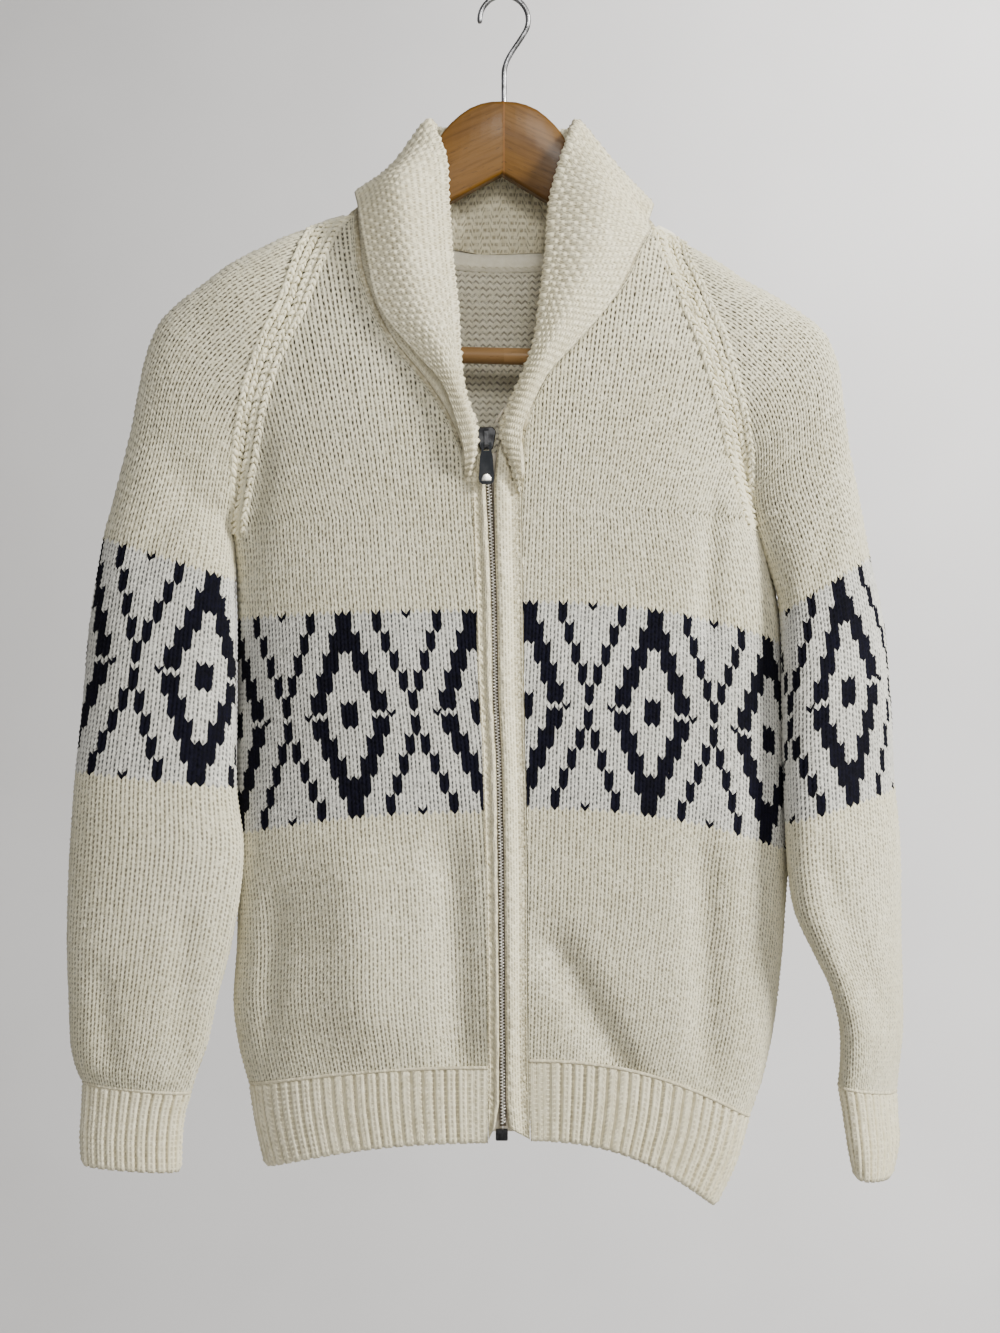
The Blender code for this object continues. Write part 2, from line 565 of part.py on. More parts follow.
# Torso panels
front_shares = shares_with_ridge(9, False)
side_shares = shares_with_ridge(6, False)


def front_grid(table, shares, folds):
    lines = [torso_line(k, np.array(r[:3]), np.array(r[3:])) for k, r in enumerate(table)]
    grid = np.array([spaced(line, shares) for line in lines])
    facing = np.clip(-(grid[..., 1] + 12) / 20, 0, 1)
    grid[..., 1] += fold_depth(grid[..., 0], grid[..., 2], folds) * facing
    return grid


def back_half(edges, middles, shares):
    lines = [
        torso_line(k, edge, np.array([0.0, y, z]))
        for k, (edge, (y, z)) in enumerate(zip(edges, middles))
    ]
    return np.array([spaced(line, shares) for line in lines])


def back_edges(front, sleeve):
    """The back shares the side seam with the front and the raglan seam with the sleeve."""
    return [
        np.array(sleeve[k][6:9] if k < ARMPIT else front[k][:3], float)
        for k in range(LAST_ROW + 1)
    ]


front_right = front_grid(FRONT_RIGHT, front_shares, FRONT_FOLDS)
front_left = front_grid(FRONT_LEFT, front_shares, FRONT_FOLDS)
half_right = back_half(back_edges(FRONT_RIGHT, SLEEVE_RIGHT), BACK_MIDDLE, side_shares)
half_left = back_half(back_edges(FRONT_LEFT, SLEEVE_LEFT), BACK_MIDDLE, side_shares)
back = np.concatenate([half_right, half_left[:, -2::-1]], axis=1)

front_right_normals = grid_normals(front_right, np.array([0, -1.0, 0]))
front_left_normals = grid_normals(front_left, np.array([0, -1.0, 0]))
back_normals = grid_normals(back, np.array([0, 1.0, 0]))


def sleeve_grid(table, shares):
    """Front seam, over the fold at the top and outside, to the back seam."""
    grid = []
    for k, r in enumerate(table):
        r = np.array(r, float)
        front = sleeve_half(k, r[:3], r[3:6], r[9], r[10], -1)
        rear = sleeve_half(k, r[6:9], r[3:6], r[9], r[10], 1)
        grid.append(spaced(np.concatenate([front, rear[-2::-1]]), shares))
    grid = np.array(grid)
    middle = (grid.min(axis=1) + grid.max(axis=1))[:, None, 1] / 2
    facing = np.clip(-(grid[..., 1] - middle) / 12, 0, 1)
    grid[..., 1] += fold_depth(grid[..., 0], grid[..., 2], SLEEVE_FOLDS) * facing
    return grid


sleeve_shares = shares_with_ridge(12, True)
sleeve_right = sleeve_grid(SLEEVE_RIGHT, sleeve_shares)
sleeve_left = sleeve_grid(SLEEVE_LEFT, sleeve_shares)


def sleeve_normals(grid):
    centre = grid.mean(axis=1, keepdims=True)
    return grid_normals(grid, grid - centre)


sleeve_right_normals = sleeve_normals(sleeve_right)
sleeve_left_normals = sleeve_normals(sleeve_left)


def share_seam(first, second):
    """Both panels' edge normals become their mean, so that the walls meet squarely."""
    mean = unit(first + second)
    first[:] = mean
    second[:] = mean


share_seam(front_right_normals[:ARMPIT, 0], sleeve_right_normals[:ARMPIT, 0])
share_seam(back_normals[:ARMPIT, 0], sleeve_right_normals[:ARMPIT, -1])
share_seam(front_left_normals[:ARMPIT, 0], sleeve_left_normals[:ARMPIT, 0])
share_seam(back_normals[:ARMPIT, -1], sleeve_left_normals[:ARMPIT, -1])
share_seam(front_right_normals[ARMPIT:, 0], back_normals[ARMPIT:, 0])
share_seam(front_left_normals[ARMPIT:, 0], back_normals[ARMPIT:, -1])
share_seam(sleeve_right_normals[ARMPIT:, 0], sleeve_right_normals[ARMPIT:, -1])
share_seam(sleeve_left_normals[ARMPIT:, 0], sleeve_left_normals[ARMPIT:, -1])


def ease_normals(normals, grid, ends):
    """Turn the normals gradually towards those of a seamed first or last column."""
    for end, way in ends:
        seam = normals[:, end].copy()
        for k in range(1, 5):
            column = end + way * k
            away = np.linalg.norm(grid[:, column] - grid[:, end], axis=1)
            w = np.clip(1 - away / 12, 0, 1)[:, None]
            normals[:, column] = unit(w * seam + (1 - w) * normals[:, column])


FIRST, LAST = (0, 1), (-1, -1)
ease_normals(front_right_normals, front_right, [FIRST])
ease_normals(front_left_normals, front_left, [FIRST])
ease_normals(back_normals, back, [FIRST, LAST])
ease_normals(sleeve_right_normals, sleeve_right, [FIRST, LAST])
ease_normals(sleeve_left_normals, sleeve_left, [FIRST, LAST])


def raglan_relief(grid, both_ends):
    """Raised stitches beside the raglan seams, fading out at the armpit."""
    height = np.zeros(grid.shape[:2])
    fade = np.clip((ARMPIT + 1 - np.arange(len(grid))) / 2.0, 0, 1)
    fade[0], fade[1] = 0.0, 0.6
    for column in (1, 2):
        height[:, column] = RAGLAN_RIDGE * fade
        if both_ends:
            height[:, -1 - column] = RAGLAN_RIDGE * fade
    return height


panel_gaps = (SEAM_GAP, SEAM_GAP, SEAM_GAP, SEAM_GAP)
add_cloth("front_right", front_right, front_right_normals, WOOL,
          relief=raglan_relief(front_right, False), gaps=panel_gaps)
add_cloth("front_left", front_left, front_left_normals, WOOL,
          relief=raglan_relief(front_left, False), gaps=panel_gaps)
add_cloth("back", back, back_normals, WOOL, relief=raglan_relief(back, True), gaps=panel_gaps)
add_cloth("sleeve_right", sleeve_right, sleeve_right_normals, WOOL,
          relief=raglan_relief(sleeve_right, True), gaps=panel_gaps)
add_cloth("sleeve_left", sleeve_left, sleeve_left_normals, WOOL,
          relief=raglan_relief(sleeve_left, True), gaps=panel_gaps)

# Ribs
RIB_STEPS = (0.0, 0.3, 0.75)  # valley, then the two shoulders of the raised rib
RIB_LEVELS = (-0.4, 1.0, 1.0)


def rib_shares(length, pitch, plain=0.0):
    """Shares of a row for every rib; plain is a smooth strip at the far end."""
    count = max(1, round((length - plain) / pitch))
    end = (length - plain) / length
    shares = [(k + step) / count * end for k in range(count) for step in RIB_STEPS] + [end]
    levels = list(RIB_LEVELS) * count + [RIB_LEVELS[0]]
    keep = list(range(0, 3 * count + 1, 3))
    if plain:
        shares += [1.0]
        levels += [0.0]
        keep.append(len(shares) - 1)
    return np.array(shares), np.array(levels) * RIB_HEIGHT, keep


def rib_heights(levels, count):
    return np.tile(levels, (count, 1))


def add_front_rib(name, table):
    lines = [torso_line(LAST_ROW, np.array(r[:3]), np.array(r[3:])) for r in table]
    shares, levels, keep = rib_shares(line_length(lines[1]), RIB_PITCH, HEM_PLAIN)
    grid = np.array([spaced(line, shares) for line in lines])
    normals = grid_normals(grid, np.array([0, -1.0, 0]))
    normals[:, 0] = unit(normals[:, 0] * (1, 0, 0))
    add_cloth(name, grid, normals, RIBBING, relief=rib_heights(levels, len(grid)), keep=keep,
              gaps=(SEAM_GAP, 0, SEAM_GAP, SEAM_GAP), crease=75)


add_front_rib("hem_rib_front_right", HEM_RIGHT)
add_front_rib("hem_rib_front_left", HEM_LEFT)

back_lines = []
for right, left, (y, z) in zip(HEM_RIGHT, HEM_LEFT, HEM_BACK_MIDDLE):
    middle = np.array([0.0, y, z])
    half_a = torso_line(LAST_ROW, np.array(right[:3]), middle)
    half_b = torso_line(LAST_ROW, np.array(left[:3]), middle)
    back_lines.append(np.concatenate([half_a, half_b[-2::-1]]))
shares, levels, keep = rib_shares(line_length(back_lines[1]), RIB_PITCH)
hem_back = np.array([spaced(line, shares) for line in back_lines])
hem_back_normals = grid_normals(hem_back, np.array([0, 1.0, 0]))
for column in (0, -1):
    hem_back_normals[:, column] = unit(hem_back_normals[:, column] * (1, 0, 0))
add_cloth("hem_rib_back", hem_back, hem_back_normals, RIBBING,
          relief=rib_heights(levels, len(hem_back)), keep=keep,
          gaps=(SEAM_GAP, 0, SEAM_GAP, SEAM_GAP), crease=75)


def add_cuff(name, table):
    lines = []
    for r in table:
        r = np.array(r, float)
        front = sleeve_half(LAST_ROW, r[:3], r[3:6], r[6], r[7], -1)
        rear = sleeve_half(LAST_ROW, r[:3], r[3:6], r[6], r[7], 1)
        lines.append(np.concatenate([front, rear[-2::-1]]))
    shares, levels, keep = rib_shares(line_length(lines[1]), CUFF_RIB_PITCH)
    grid = np.array([spaced(line, shares) for line in lines])
    normals = grid_normals(grid, grid - grid.mean(axis=1, keepdims=True))
    normals[:, -1] = normals[:, 0] = unit(normals[:, 0] + normals[:, -1])
    add_cloth(name, grid, normals, RIBBING, relief=rib_heights(levels, len(grid)), keep=keep,
              gaps=(SEAM_GAP, 0, 0, 0), loop=True, crease=75)


add_cuff("cuff_right", CUFF_RIGHT)
add_cuff("cuff_left", CUFF_LEFT)

# Shawl collar: rows run across the strip from the seam to the free edge, columns along it
collar_table = np.array(COLLAR, float)
fine = np.linspace(0, len(COLLAR) - 1, COLLAR_STEPS)
fold_pace, fall_pace = (
    np.linalg.norm(np.diff(smooth(collar_table[:, k], fine), axis=0), axis=1) for k in (2, 3)
)
travel = np.concatenate([[0], np.cumsum((fold_pace + fall_pace) / 2)])
ridges = round(travel[-1] / COLLAR_PITCH)
collar_at = np.interp(np.linspace(0, travel[-1], 2 * ridges + 1), travel, fine)


def across_strip(seam, stand, roll, fall, edge):
    """Eight points across the folded strip, with a rounded fold."""
    tip = unit(roll - (stand + fall) / 2)
    side = fall - stand
    side = unit(side - tip * (side * tip).sum(axis=-1, keepdims=True))
    inside = roll - tip * COLLAR_ROLL - side * COLLAR_ROLL
    outside = roll - tip * COLLAR_ROLL + side * COLLAR_ROLL
    low = seam * 0.42 + stand * 0.58
    high = stand * 0.6 + inside * 0.4
    return np.stack([seam, low, high, inside, roll, outside, fall, edge])


neck_loop = np.concatenate([
    front_right[8::-1, -1], front_right[0, -2::-1], sleeve_right[0, 1:], back[0, 1:],
    sleeve_left[0, -2::-1], front_left[0, 1:], front_left[1:9, -1],
])
neck_line = spaced(neck_loop, np.linspace(0, 1, 900))


def sewn_to_neck(points, towards):
    """Each seam point moved onto the neck edge, then clear of it along the stand."""
    far = np.linalg.norm(neck_line[None] - points[:, None], axis=2)
    on_edge = neck_line[far.argmin(axis=1)]
    backward = np.clip((on_edge[:, 1:2] - 14) / 8, 0, 1)
    clear = COLLAR_SEAM_FRONT + (COLLAR_SEAM_BACK - COLLAR_SEAM_FRONT) * backward
    return on_edge + unit(towards - on_edge) * clear


def evened(values, passes):
    """Values averaged with their neighbours along the strip; both ends stay."""
    for _ in range(passes):
        middle = (values[:, :-2] + 2 * values[:, 1:-1] + values[:, 2:]) / 4
        values = np.concatenate([values[:, :1], middle, values[:, -1:]], axis=1)
    return values


stations = smooth(collar_table, collar_at)
stations[:, 0] = sewn_to_neck(stations[:, 0], stations[:, 1])
collar = across_strip(*(stations[:, k] for k in range(5)))
collar[1:3] = evened(collar[1:3], 2)
collar_out = np.zeros_like(collar)
collar_out[6:] = (collar[6:] - collar[2][None]) / 10
collar_normals = unit(evened(grid_normals(collar, collar_out), 6))
wave = np.where(np.arange(collar.shape[1]) % 2 == 1, 1.0, 0.0)
ridge_share = np.array([0.2, 1, 1, 1, 1, 1, 1, 0.6])  # across the strip, lower at both edges
collar_relief = COLLAR_RIDGE * wave[None, :] * ridge_share[:, None]
collar_base = collar + collar_normals * (COLLAR_WALL - 1.0) / 2
add_cloth("collar", collar_base, collar_normals, COLLAR_WOOL, wall=COLLAR_WALL - 1.0,
          relief=collar_relief, keep=range(0, collar.shape[1], 2), gaps=(SEAM_GAP, 0, 0, 0), crease=80)



# Bands beside the zip
def band_grid(edge_table, inner_table, ends, shares):
    """Rows down the band; each runs from the front's edge to the zip."""
    edge, inner = np.array(edge_table, float), np.array(inner_table, float)
    top, bottom_edge, bottom_zip = ends
    grid = []
    for t in np.linspace(0, 1, BAND_ROWS):
        line = []
        for s in shares:
            z = top + (bottom_edge + (bottom_zip - bottom_edge) * s - top) * t
            x_edge, y = (np.interp(-z, -edge[:, 2], edge[:, k]) for k in (0, 1))
            x_zip = np.interp(-z, -inner[:, 0], inner[:, 1])
            line.append((x_edge + (x_zip - x_edge) * s, y, z))
        grid.append(line)
    return np.array(grid)


def add_band(name, edge_table, inner_table, ends, section):
    shares, heights = np.array(section, float).T
    grid = band_grid(edge_table, inner_table, ends, shares)
    relief = np.tile(heights, (len(grid), 1))
    add_cloth(name, grid, grid_normals(grid, np.array([0, -1.0, 0])), COLLAR_WOOL,
              wall=BAND_WALL, relief=relief, gaps=(0, 0, 0, 0))


NECK_ROW = 8  # the neck edge ends and the band begins here
right_edge = [r[3:] for r in FRONT_RIGHT[NECK_ROW:]] + [r[3:] for r in HEM_RIGHT[1:]]
left_edge = [r[3:] for r in FRONT_LEFT[NECK_ROW:]] + [r[3:] for r in HEM_LEFT[1:]]
add_band("band_right", right_edge, BAND_RIGHT_INNER, BAND_RIGHT_ENDS, BAND_RIGHT_SECTION)
add_band("band_left", left_edge, BAND_LEFT_INNER, BAND_LEFT_ENDS, BAND_LEFT_SECTION)

# Zip: chain and tapes
zip_table = np.array(ZIP_LINE, float)


def zip_middle(z):
    return np.array([np.interp(-z, -zip_table[:, 2], zip_table[:, k]) for k in (0, 1)])


def add_chain():
    rings = []
    w = CHAIN_WIDTH / 2
    for z in np.linspace(CHAIN_TOP, CHAIN_BOTTOM, CHAIN_ROWS):
        x, y = zip_middle(z)
        near, far = y - CHAIN_FRONT, y + CHAIN_BACK
        rings.append([(x - w, far, z), (x - w, near, z), (x + w, near, z), (x + w, far, z)])
    add_tube("zip_chain", rings, TEETH)


def add_tape(name, sign):
    rings = []
    for z in np.linspace(TAPE_TOP, TAPE_BOTTOM, TAPE_ROWS):
        x, y = zip_middle(z)
        near, far = x + sign * TAPE_NEAR, x + sign * TAPE_FAR
        front, rear = y + TAPE_BEHIND, y + TAPE_BEHIND + TAPE_WALL
        rings.append([(near, front, z), (far, front, z), (far, rear, z), (near, rear, z)])
    add_tube(name, rings, TAPE)


add_chain()
add_tape("zip_tape_right", -1)
add_tape("zip_tape_left", 1)


def whole_outline(middle, top, half):
    """An outline from its right half, whose points are x from the middle and drop below the top."""
    right = [(middle + x, top - drop) for x, drop in half]
    left = [(middle - x, top - drop) for x, drop in half]
    return right + left[::-1]


def combine(target, tool, operation):
    """Join the tool's shape to the target, or cut it out, and remove the tool."""
    change = target.modifiers.new("combine", "BOOLEAN")
    change.operation = operation
    change.solver = "EXACT"
    change.object = tool
    bpy.context.view_layer.update()
    changed = target.evaluated_get(bpy.context.evaluated_depsgraph_get())
    mesh = bpy.data.meshes.new_from_object(changed)
    target.modifiers.clear()
    target.data = mesh
    bpy.data.objects.remove(tool, do_unlink=True)


# Slider: a body narrowing downward, with an arched bail on its front
def add_bail():
    """Side view of the arch as y from the slider's face and z, given a width along X."""
    outer = [
        (0.6, BAIL_FOOT - 0.9), (-3.2, BAIL_FOOT - 0.9), (-BAIL_REACH, BAIL_FOOT + 0.8),
        (-BAIL_REACH, BAIL_TOP - 1.6), (-3.4, BAIL_TOP), (0.6, BAIL_TOP),
    ]
    inner = [
        (0.6, BAIL_TOP - 1.5), (-2.6, BAIL_TOP - 1.7), (-3.2, BAIL_TOP - 2.4),
        (-3.2, BAIL_FOOT + 1.0), (-2.8, BAIL_FOOT + 0.5), (0.6, BAIL_FOOT + 0.5),
    ]
    side = outer + inner
    count = len(side)
    points = [
        (SLIDER_X + sign * BAIL_HALF, SLIDER_FRONT + y, z) for sign in (-1, 1) for y, z in side
    ]
    faces = [(i, (i + 1) % count, count + (i + 1) % count, count + i) for i in range(count)]
    faces += [tuple(range(count))[::-1], tuple(range(count, 2 * count))]
    return add_object("bail", points, faces, TEETH)


slider_outline = whole_outline(SLIDER_X, SLIDER_TOP, SLIDER_HALF_OUTLINE)
slider = add_plate("zip_slider", slider_outline, SLIDER_FRONT, SLIDER_BACK, TEETH, bevel=PLATE_BEVEL)
combine(slider, add_bail(), "UNION")


# Pull tab: a cross bar under the bail, two arms and a tapered plate, round its own axis
def add_pull():
    arm = PULL_WINDOW_HALF + PULL_ARM
    half = [
        (arm, PULL_HALF_WALL), (arm, PLATE_TOP - 0.5), (4.1, PLATE_TOP - 3.5),
        (5.0, PLATE_BOTTOM + 4.0), (4.4, PLATE_BOTTOM + 1.3), (2.6, PLATE_BOTTOM),
    ]
    outline = [(-x, z) for x, z in half] + half[::-1]
    window = [
        (-PULL_WINDOW_HALF, -PULL_HALF_WALL), (-PULL_WINDOW_HALF, PLATE_TOP),
        (PULL_WINDOW_HALF, PLATE_TOP), (PULL_WINDOW_HALF, -PULL_HALF_WALL),
    ]
    points = [(x, y, z) for y in (-PULL_HALF_WALL, PULL_HALF_WALL) for x, z in outline + window]
    layer = len(outline) + len(window)
    faces = []
    for shift, turned in ((0, False), (layer, True)):
        left = [shift + k for k in range(len(half))]
        right = [shift + len(half) + k for k in range(len(half))]
        hole = [shift + len(outline) + k for k in range(len(window))]
        face_parts = [
            (left[0], left[1], hole[1], hole[0]),
            (right[-1], hole[3], hole[2], right[-2]),
            (left[0], hole[0], hole[3], right[-1]),
            (*left[1:], *right[:-1], hole[2], hole[1]),
        ]
        faces += [face[::-1] for face in face_parts] if turned else face_parts
    for k in range(len(outline)):
        n = (k + 1) % len(outline)
        faces.append((k, n, layer + n, layer + k))
    for k in range(len(window)):
        a, b = len(outline) + k, len(outline) + (k + 1) % len(window)
        faces.append((a, layer + a, layer + b, b))
    pull = add_object("zip_pull", points, faces, GUNMETAL)
    pull.location = (SLIDER_X * MM, PULL_Y * MM, PULL_Z * MM)


add_pull()

# Box that holds the bottom of the zip
box_outline = whole_outline(BOX_X, CHAIN_BOTTOM - FIT_GAP, BOX_HALF_OUTLINE)
add_plate("zip_bottom_stop", box_outline, BOX_Y - BOX_HALF_WALL, BOX_Y + BOX_HALF_WALL, TEETH,
          bevel=PLATE_BEVEL)


# Hanger
def tilted(point):
    x, y, z = point
    c, s = math.cos(HANGER_TILT), math.sin(HANGER_TILT)
    drop = z - TILT_PIVOT
    return (x * c + drop * s, y, TILT_PIVOT + drop * c - x * s)


def arm_section(distance, side):
    top = np.interp(distance, *np.array(ARM_TOP).T)
    under = np.interp(distance, *np.array(ARM_UNDER).T)
    half = np.interp(distance, *np.array(ARM_HALF).T)
    c = min(3.0, (top - under) * 0.3)
    ring = [
        (-half, under + c), (-half, top - c), (-half + c, top), (half - c, top),
        (half, top - c), (half, under + c), (half - c, under), (-half + c, under),
    ]
    return [tilted((side * distance, y, z)) for y, z in ring]


def circle(centre, first, second, radius, sides):
    turns = [2 * math.pi * k / sides for k in range(sides)]
    return [centre + radius * (math.cos(t) * first + math.sin(t) * second) for t in turns]


def add_rod(name, start, end, radius, sides, material):
    start, end = np.array(start), np.array(end)
    way = unit(end - start)
    first = np.array([0.0, 1.0, 0.0])
    second = np.cross(way, first)
    rings = [circle(place, first, second, radius, sides) for place in (start, end)]
    return add_tube(name, rings, material)


distances = [d for d, z in ARM_TOP]
arm_rings = [arm_section(d, -1) for d in distances[::-1]] + [arm_section(d, 1) for d in distances[1:]]
hanger = add_tube("hanger_body", arm_rings, WOOD, crease=50)
hole = add_rod("hole", tilted((-BAR_HOLE_END, 0, BAR_Z)), tilted((BAR_HOLE_END, 0, BAR_Z)),
               BAR_RADIUS + FIT_GAP, 16, WOOD)
combine(hanger, hole, "DIFFERENCE")
add_rod("hanger_bar", tilted((-BAR_END, 0, BAR_Z)), tilted((BAR_END, 0, BAR_Z)), BAR_RADIUS, 16, WOOD)


# Hook: a straight shank, an open curve and the crook whose inner top is the origin
def crook_point(degrees):
    a = math.radians(degrees)
    return np.array([
        CROOK_RADIUS * math.cos(a), 0, HOOK_WIRE - CROOK_RADIUS + CROOK_RADIUS * math.sin(a),
    ])


def hook_path():
    shank = [(0, 0, z) for z in SHANK_HEIGHTS]
    p0, p1, p2 = np.array([0, 0, -50.0]), np.array([0, 0, -40.0]), np.array([8.0, 0, -32.4])
    p3 = crook_point(CROOK_START)
    curve = [
        (1 - t) ** 3 * p0 + 3 * (1 - t) ** 2 * t * p1 + 3 * (1 - t) * t * t * p2 + t**3 * p3
        for t in np.linspace(0, 1, 7)
    ]
    crook = [crook_point(a) for a in np.linspace(CROOK_START, CROOK_END, 19)[1:]]
    return np.array([*shank, *curve, *crook], float)


def add_hook():
    path = hook_path()
    ways = unit(np.gradient(path, axis=0))
    first = np.array([0.0, 1.0, 0.0])
    rings = [
        circle(point, first, np.cross(way, first), HOOK_WIRE, 10) for point, way in zip(path, ways)
    ]
    tip = path[-1] + ways[-1] * 1.2
    rings.append(circle(tip, first, np.cross(ways[-1], first), HOOK_WIRE * 0.55, 10))
    add_tube("hanger_hook", rings, STEEL)


socket = add_rod("socket", (0, 0, SHANK_FOOT - 0.4), (0, 0, -60), HOOK_WIRE + FIT_GAP, 12, WOOD)
combine(hanger, socket, "DIFFERENCE")
add_hook()
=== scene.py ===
"""Fair isle zip cardigan on its hanger: the look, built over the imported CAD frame."""

import math

import bpy
import numpy as np
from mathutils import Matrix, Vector


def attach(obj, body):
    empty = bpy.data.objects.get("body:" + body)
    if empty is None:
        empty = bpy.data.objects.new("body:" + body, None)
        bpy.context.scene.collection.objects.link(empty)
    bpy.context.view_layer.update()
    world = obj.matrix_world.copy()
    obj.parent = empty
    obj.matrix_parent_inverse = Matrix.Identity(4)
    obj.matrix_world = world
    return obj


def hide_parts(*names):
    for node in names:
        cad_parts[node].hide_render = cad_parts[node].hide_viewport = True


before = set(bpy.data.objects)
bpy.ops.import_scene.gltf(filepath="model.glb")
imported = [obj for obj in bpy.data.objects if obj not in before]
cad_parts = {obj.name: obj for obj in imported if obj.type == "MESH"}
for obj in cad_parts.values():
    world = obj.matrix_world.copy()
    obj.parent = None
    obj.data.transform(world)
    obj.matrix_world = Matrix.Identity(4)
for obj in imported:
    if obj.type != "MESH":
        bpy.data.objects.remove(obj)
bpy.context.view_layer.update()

MM = 0.001
# Rows of the tables below where something starts or ends
NECK_END, ARMPIT = 8.6, 10
MOTIF_FROM, MOTIF_TO = 13, 16
LAST_ROW, SLEEVE_LAST_ROW = 22, 23
# Sizes in millimetres: cloth, the sewn edges' width, hanger and hook
WALL = 3.0
CLOTH_DEPTH = 1.6  # from the stitches' middle surface to the plain cloth under them
ALLOWANCE = 5.2
HANGER_TILT = math.radians(1.4)
TILT_PIVOT = -60.0
BAR_RADIUS = 5.5
HOOK_WIRE = 1.75
CROOK_RADIUS = 16.0

# Knitting gauge
WALE = 4.75  # width of a stitch
ROW = 3.3  # height of a stitch
UPPER_ROW = 4.2  # the same above the motif band, where the cloth is stretched
MOTIF_ROWS = 41
MOTIF_REPEAT = 17
FRONT_WALES = (37, 41)
BACK_HALF_WALES = 39
SLEEVE_HALF_WALES = 22

# Right front: raglan and side edge x y z, then neck and band edge x y z
FRONT_RIGHT = [
    (-102, 9, -143, -97, 5, -140),
    (-115.5, 0, -149.5, -96.5, -9, -150),
    (-122, -10, -162, -95, -20, -165),
    (-129, -18, -180, -93, -26, -182.5),
    (-139, -23, -209, -84, -31, -208.5),
    (-150.5, -25, -232, -71.5, -35, -231.5),
    (-160, -24, -257, -53.5, -38, -253),
    (-166, -21, -280.5, -38, -40, -275.5),
    (-170.7, -14, -307, -26, -41, -300.5),
    (-175, -6, -331.5, -20.5, -41, -327.5),
    (-178, 2, -350.7, -20, -41, -346),
    (-177, 5, -370.5, -19.3, -41, -366),
    (-176.4, 7, -390, -18.7, -41, -386),
    (-175.8, 8, -410, -18, -41, -405.3),
    (-175.8, 8, -456.5, -17, -42, -448.3),
    (-176.5, 8, -504.3, -14.2, -42, -491.3),
    (-177.5, 8, -551.4, -13, -42, -534.3),
    (-177.5, 8, -576, -12.3, -41, -557.4),
    (-175.8, 8, -601, -11.6, -41, -585.7),
    (-176.4, 7, -630, -11, -40, -616.6),
    (-178.2, 6, -662, -10.4, -40, -648.7),
    (-174.8, 5, -689.6, -10.4, -39, -674.6),
    (-168, 4, -715.2, -10, -38, -699.2),
]

# Left front, in the same order
FRONT_LEFT = [
    (98.3, 9, -149.8, 94.7, 5, -146.6),
    (109, 0, -158.8, 93, -9, -156.5),
    (112.7, -11, -176, 86, -18, -169.3),
    (119.3, -18, -191.5, 78.4, -26, -187.7),
    (126, -22, -208, 64.6, -31, -206.6),
    (135, -25, -229, 47, -35, -228),
    (142.8, -24, -253.6, 28.2, -38, -249),
    (150.4, -20, -280.4, 17, -40, -271),
    (155.4, -13, -305.8, 11.5, -41, -295.5),
    (160.6, -6, -326.2, 11.5, -41, -320),
    (166, 2, -345.4, 11.5, -41, -339),
    (172.8, 5, -365.8, 11.8, -41, -359.7),
    (179.7, 7, -394.8, 12, -41, -379.6),
    (184.5, 8, -426.7, 12.4, -41, -399.5),
    (187, 8, -471.8, 12.8, -42, -443.8),
    (189, 8, -517.6, 13.4, -42, -488),
    (188.5, 8, -562.7, 14.7, -42, -531.7),
    (186.5, 8, -589, 15, -41, -557.4),
    (184.5, 8, -619, 15.3, -41, -585.7),
    (181.7, 7, -647.5, 15.3, -40, -616.6),
    (177.6, 6, -678.5, 15.3, -40, -645.5),
    (171, 5, -709.5, 15.4, -39, -671.4),
    (162, 4, -737, 15.7, -38, -694.7),
]

# Middle of the back: y z
BACK_MIDDLE = [
    (28, -171.7), (30, -180.6), (31, -190.5), (33, -202.4), (35, -219), (36, -236.7),
    (37, -257), (38, -278), (38, -301.4), (38, -324.5), (38, -344.3), (38, -364),
    (38, -384.5), (38, -404.3), (38, -450), (38, -494.7), (38, -539), (38, -562),
    (37, -590), (37, -621.5), (36, -653), (35, -681), (34, -707.3),
]

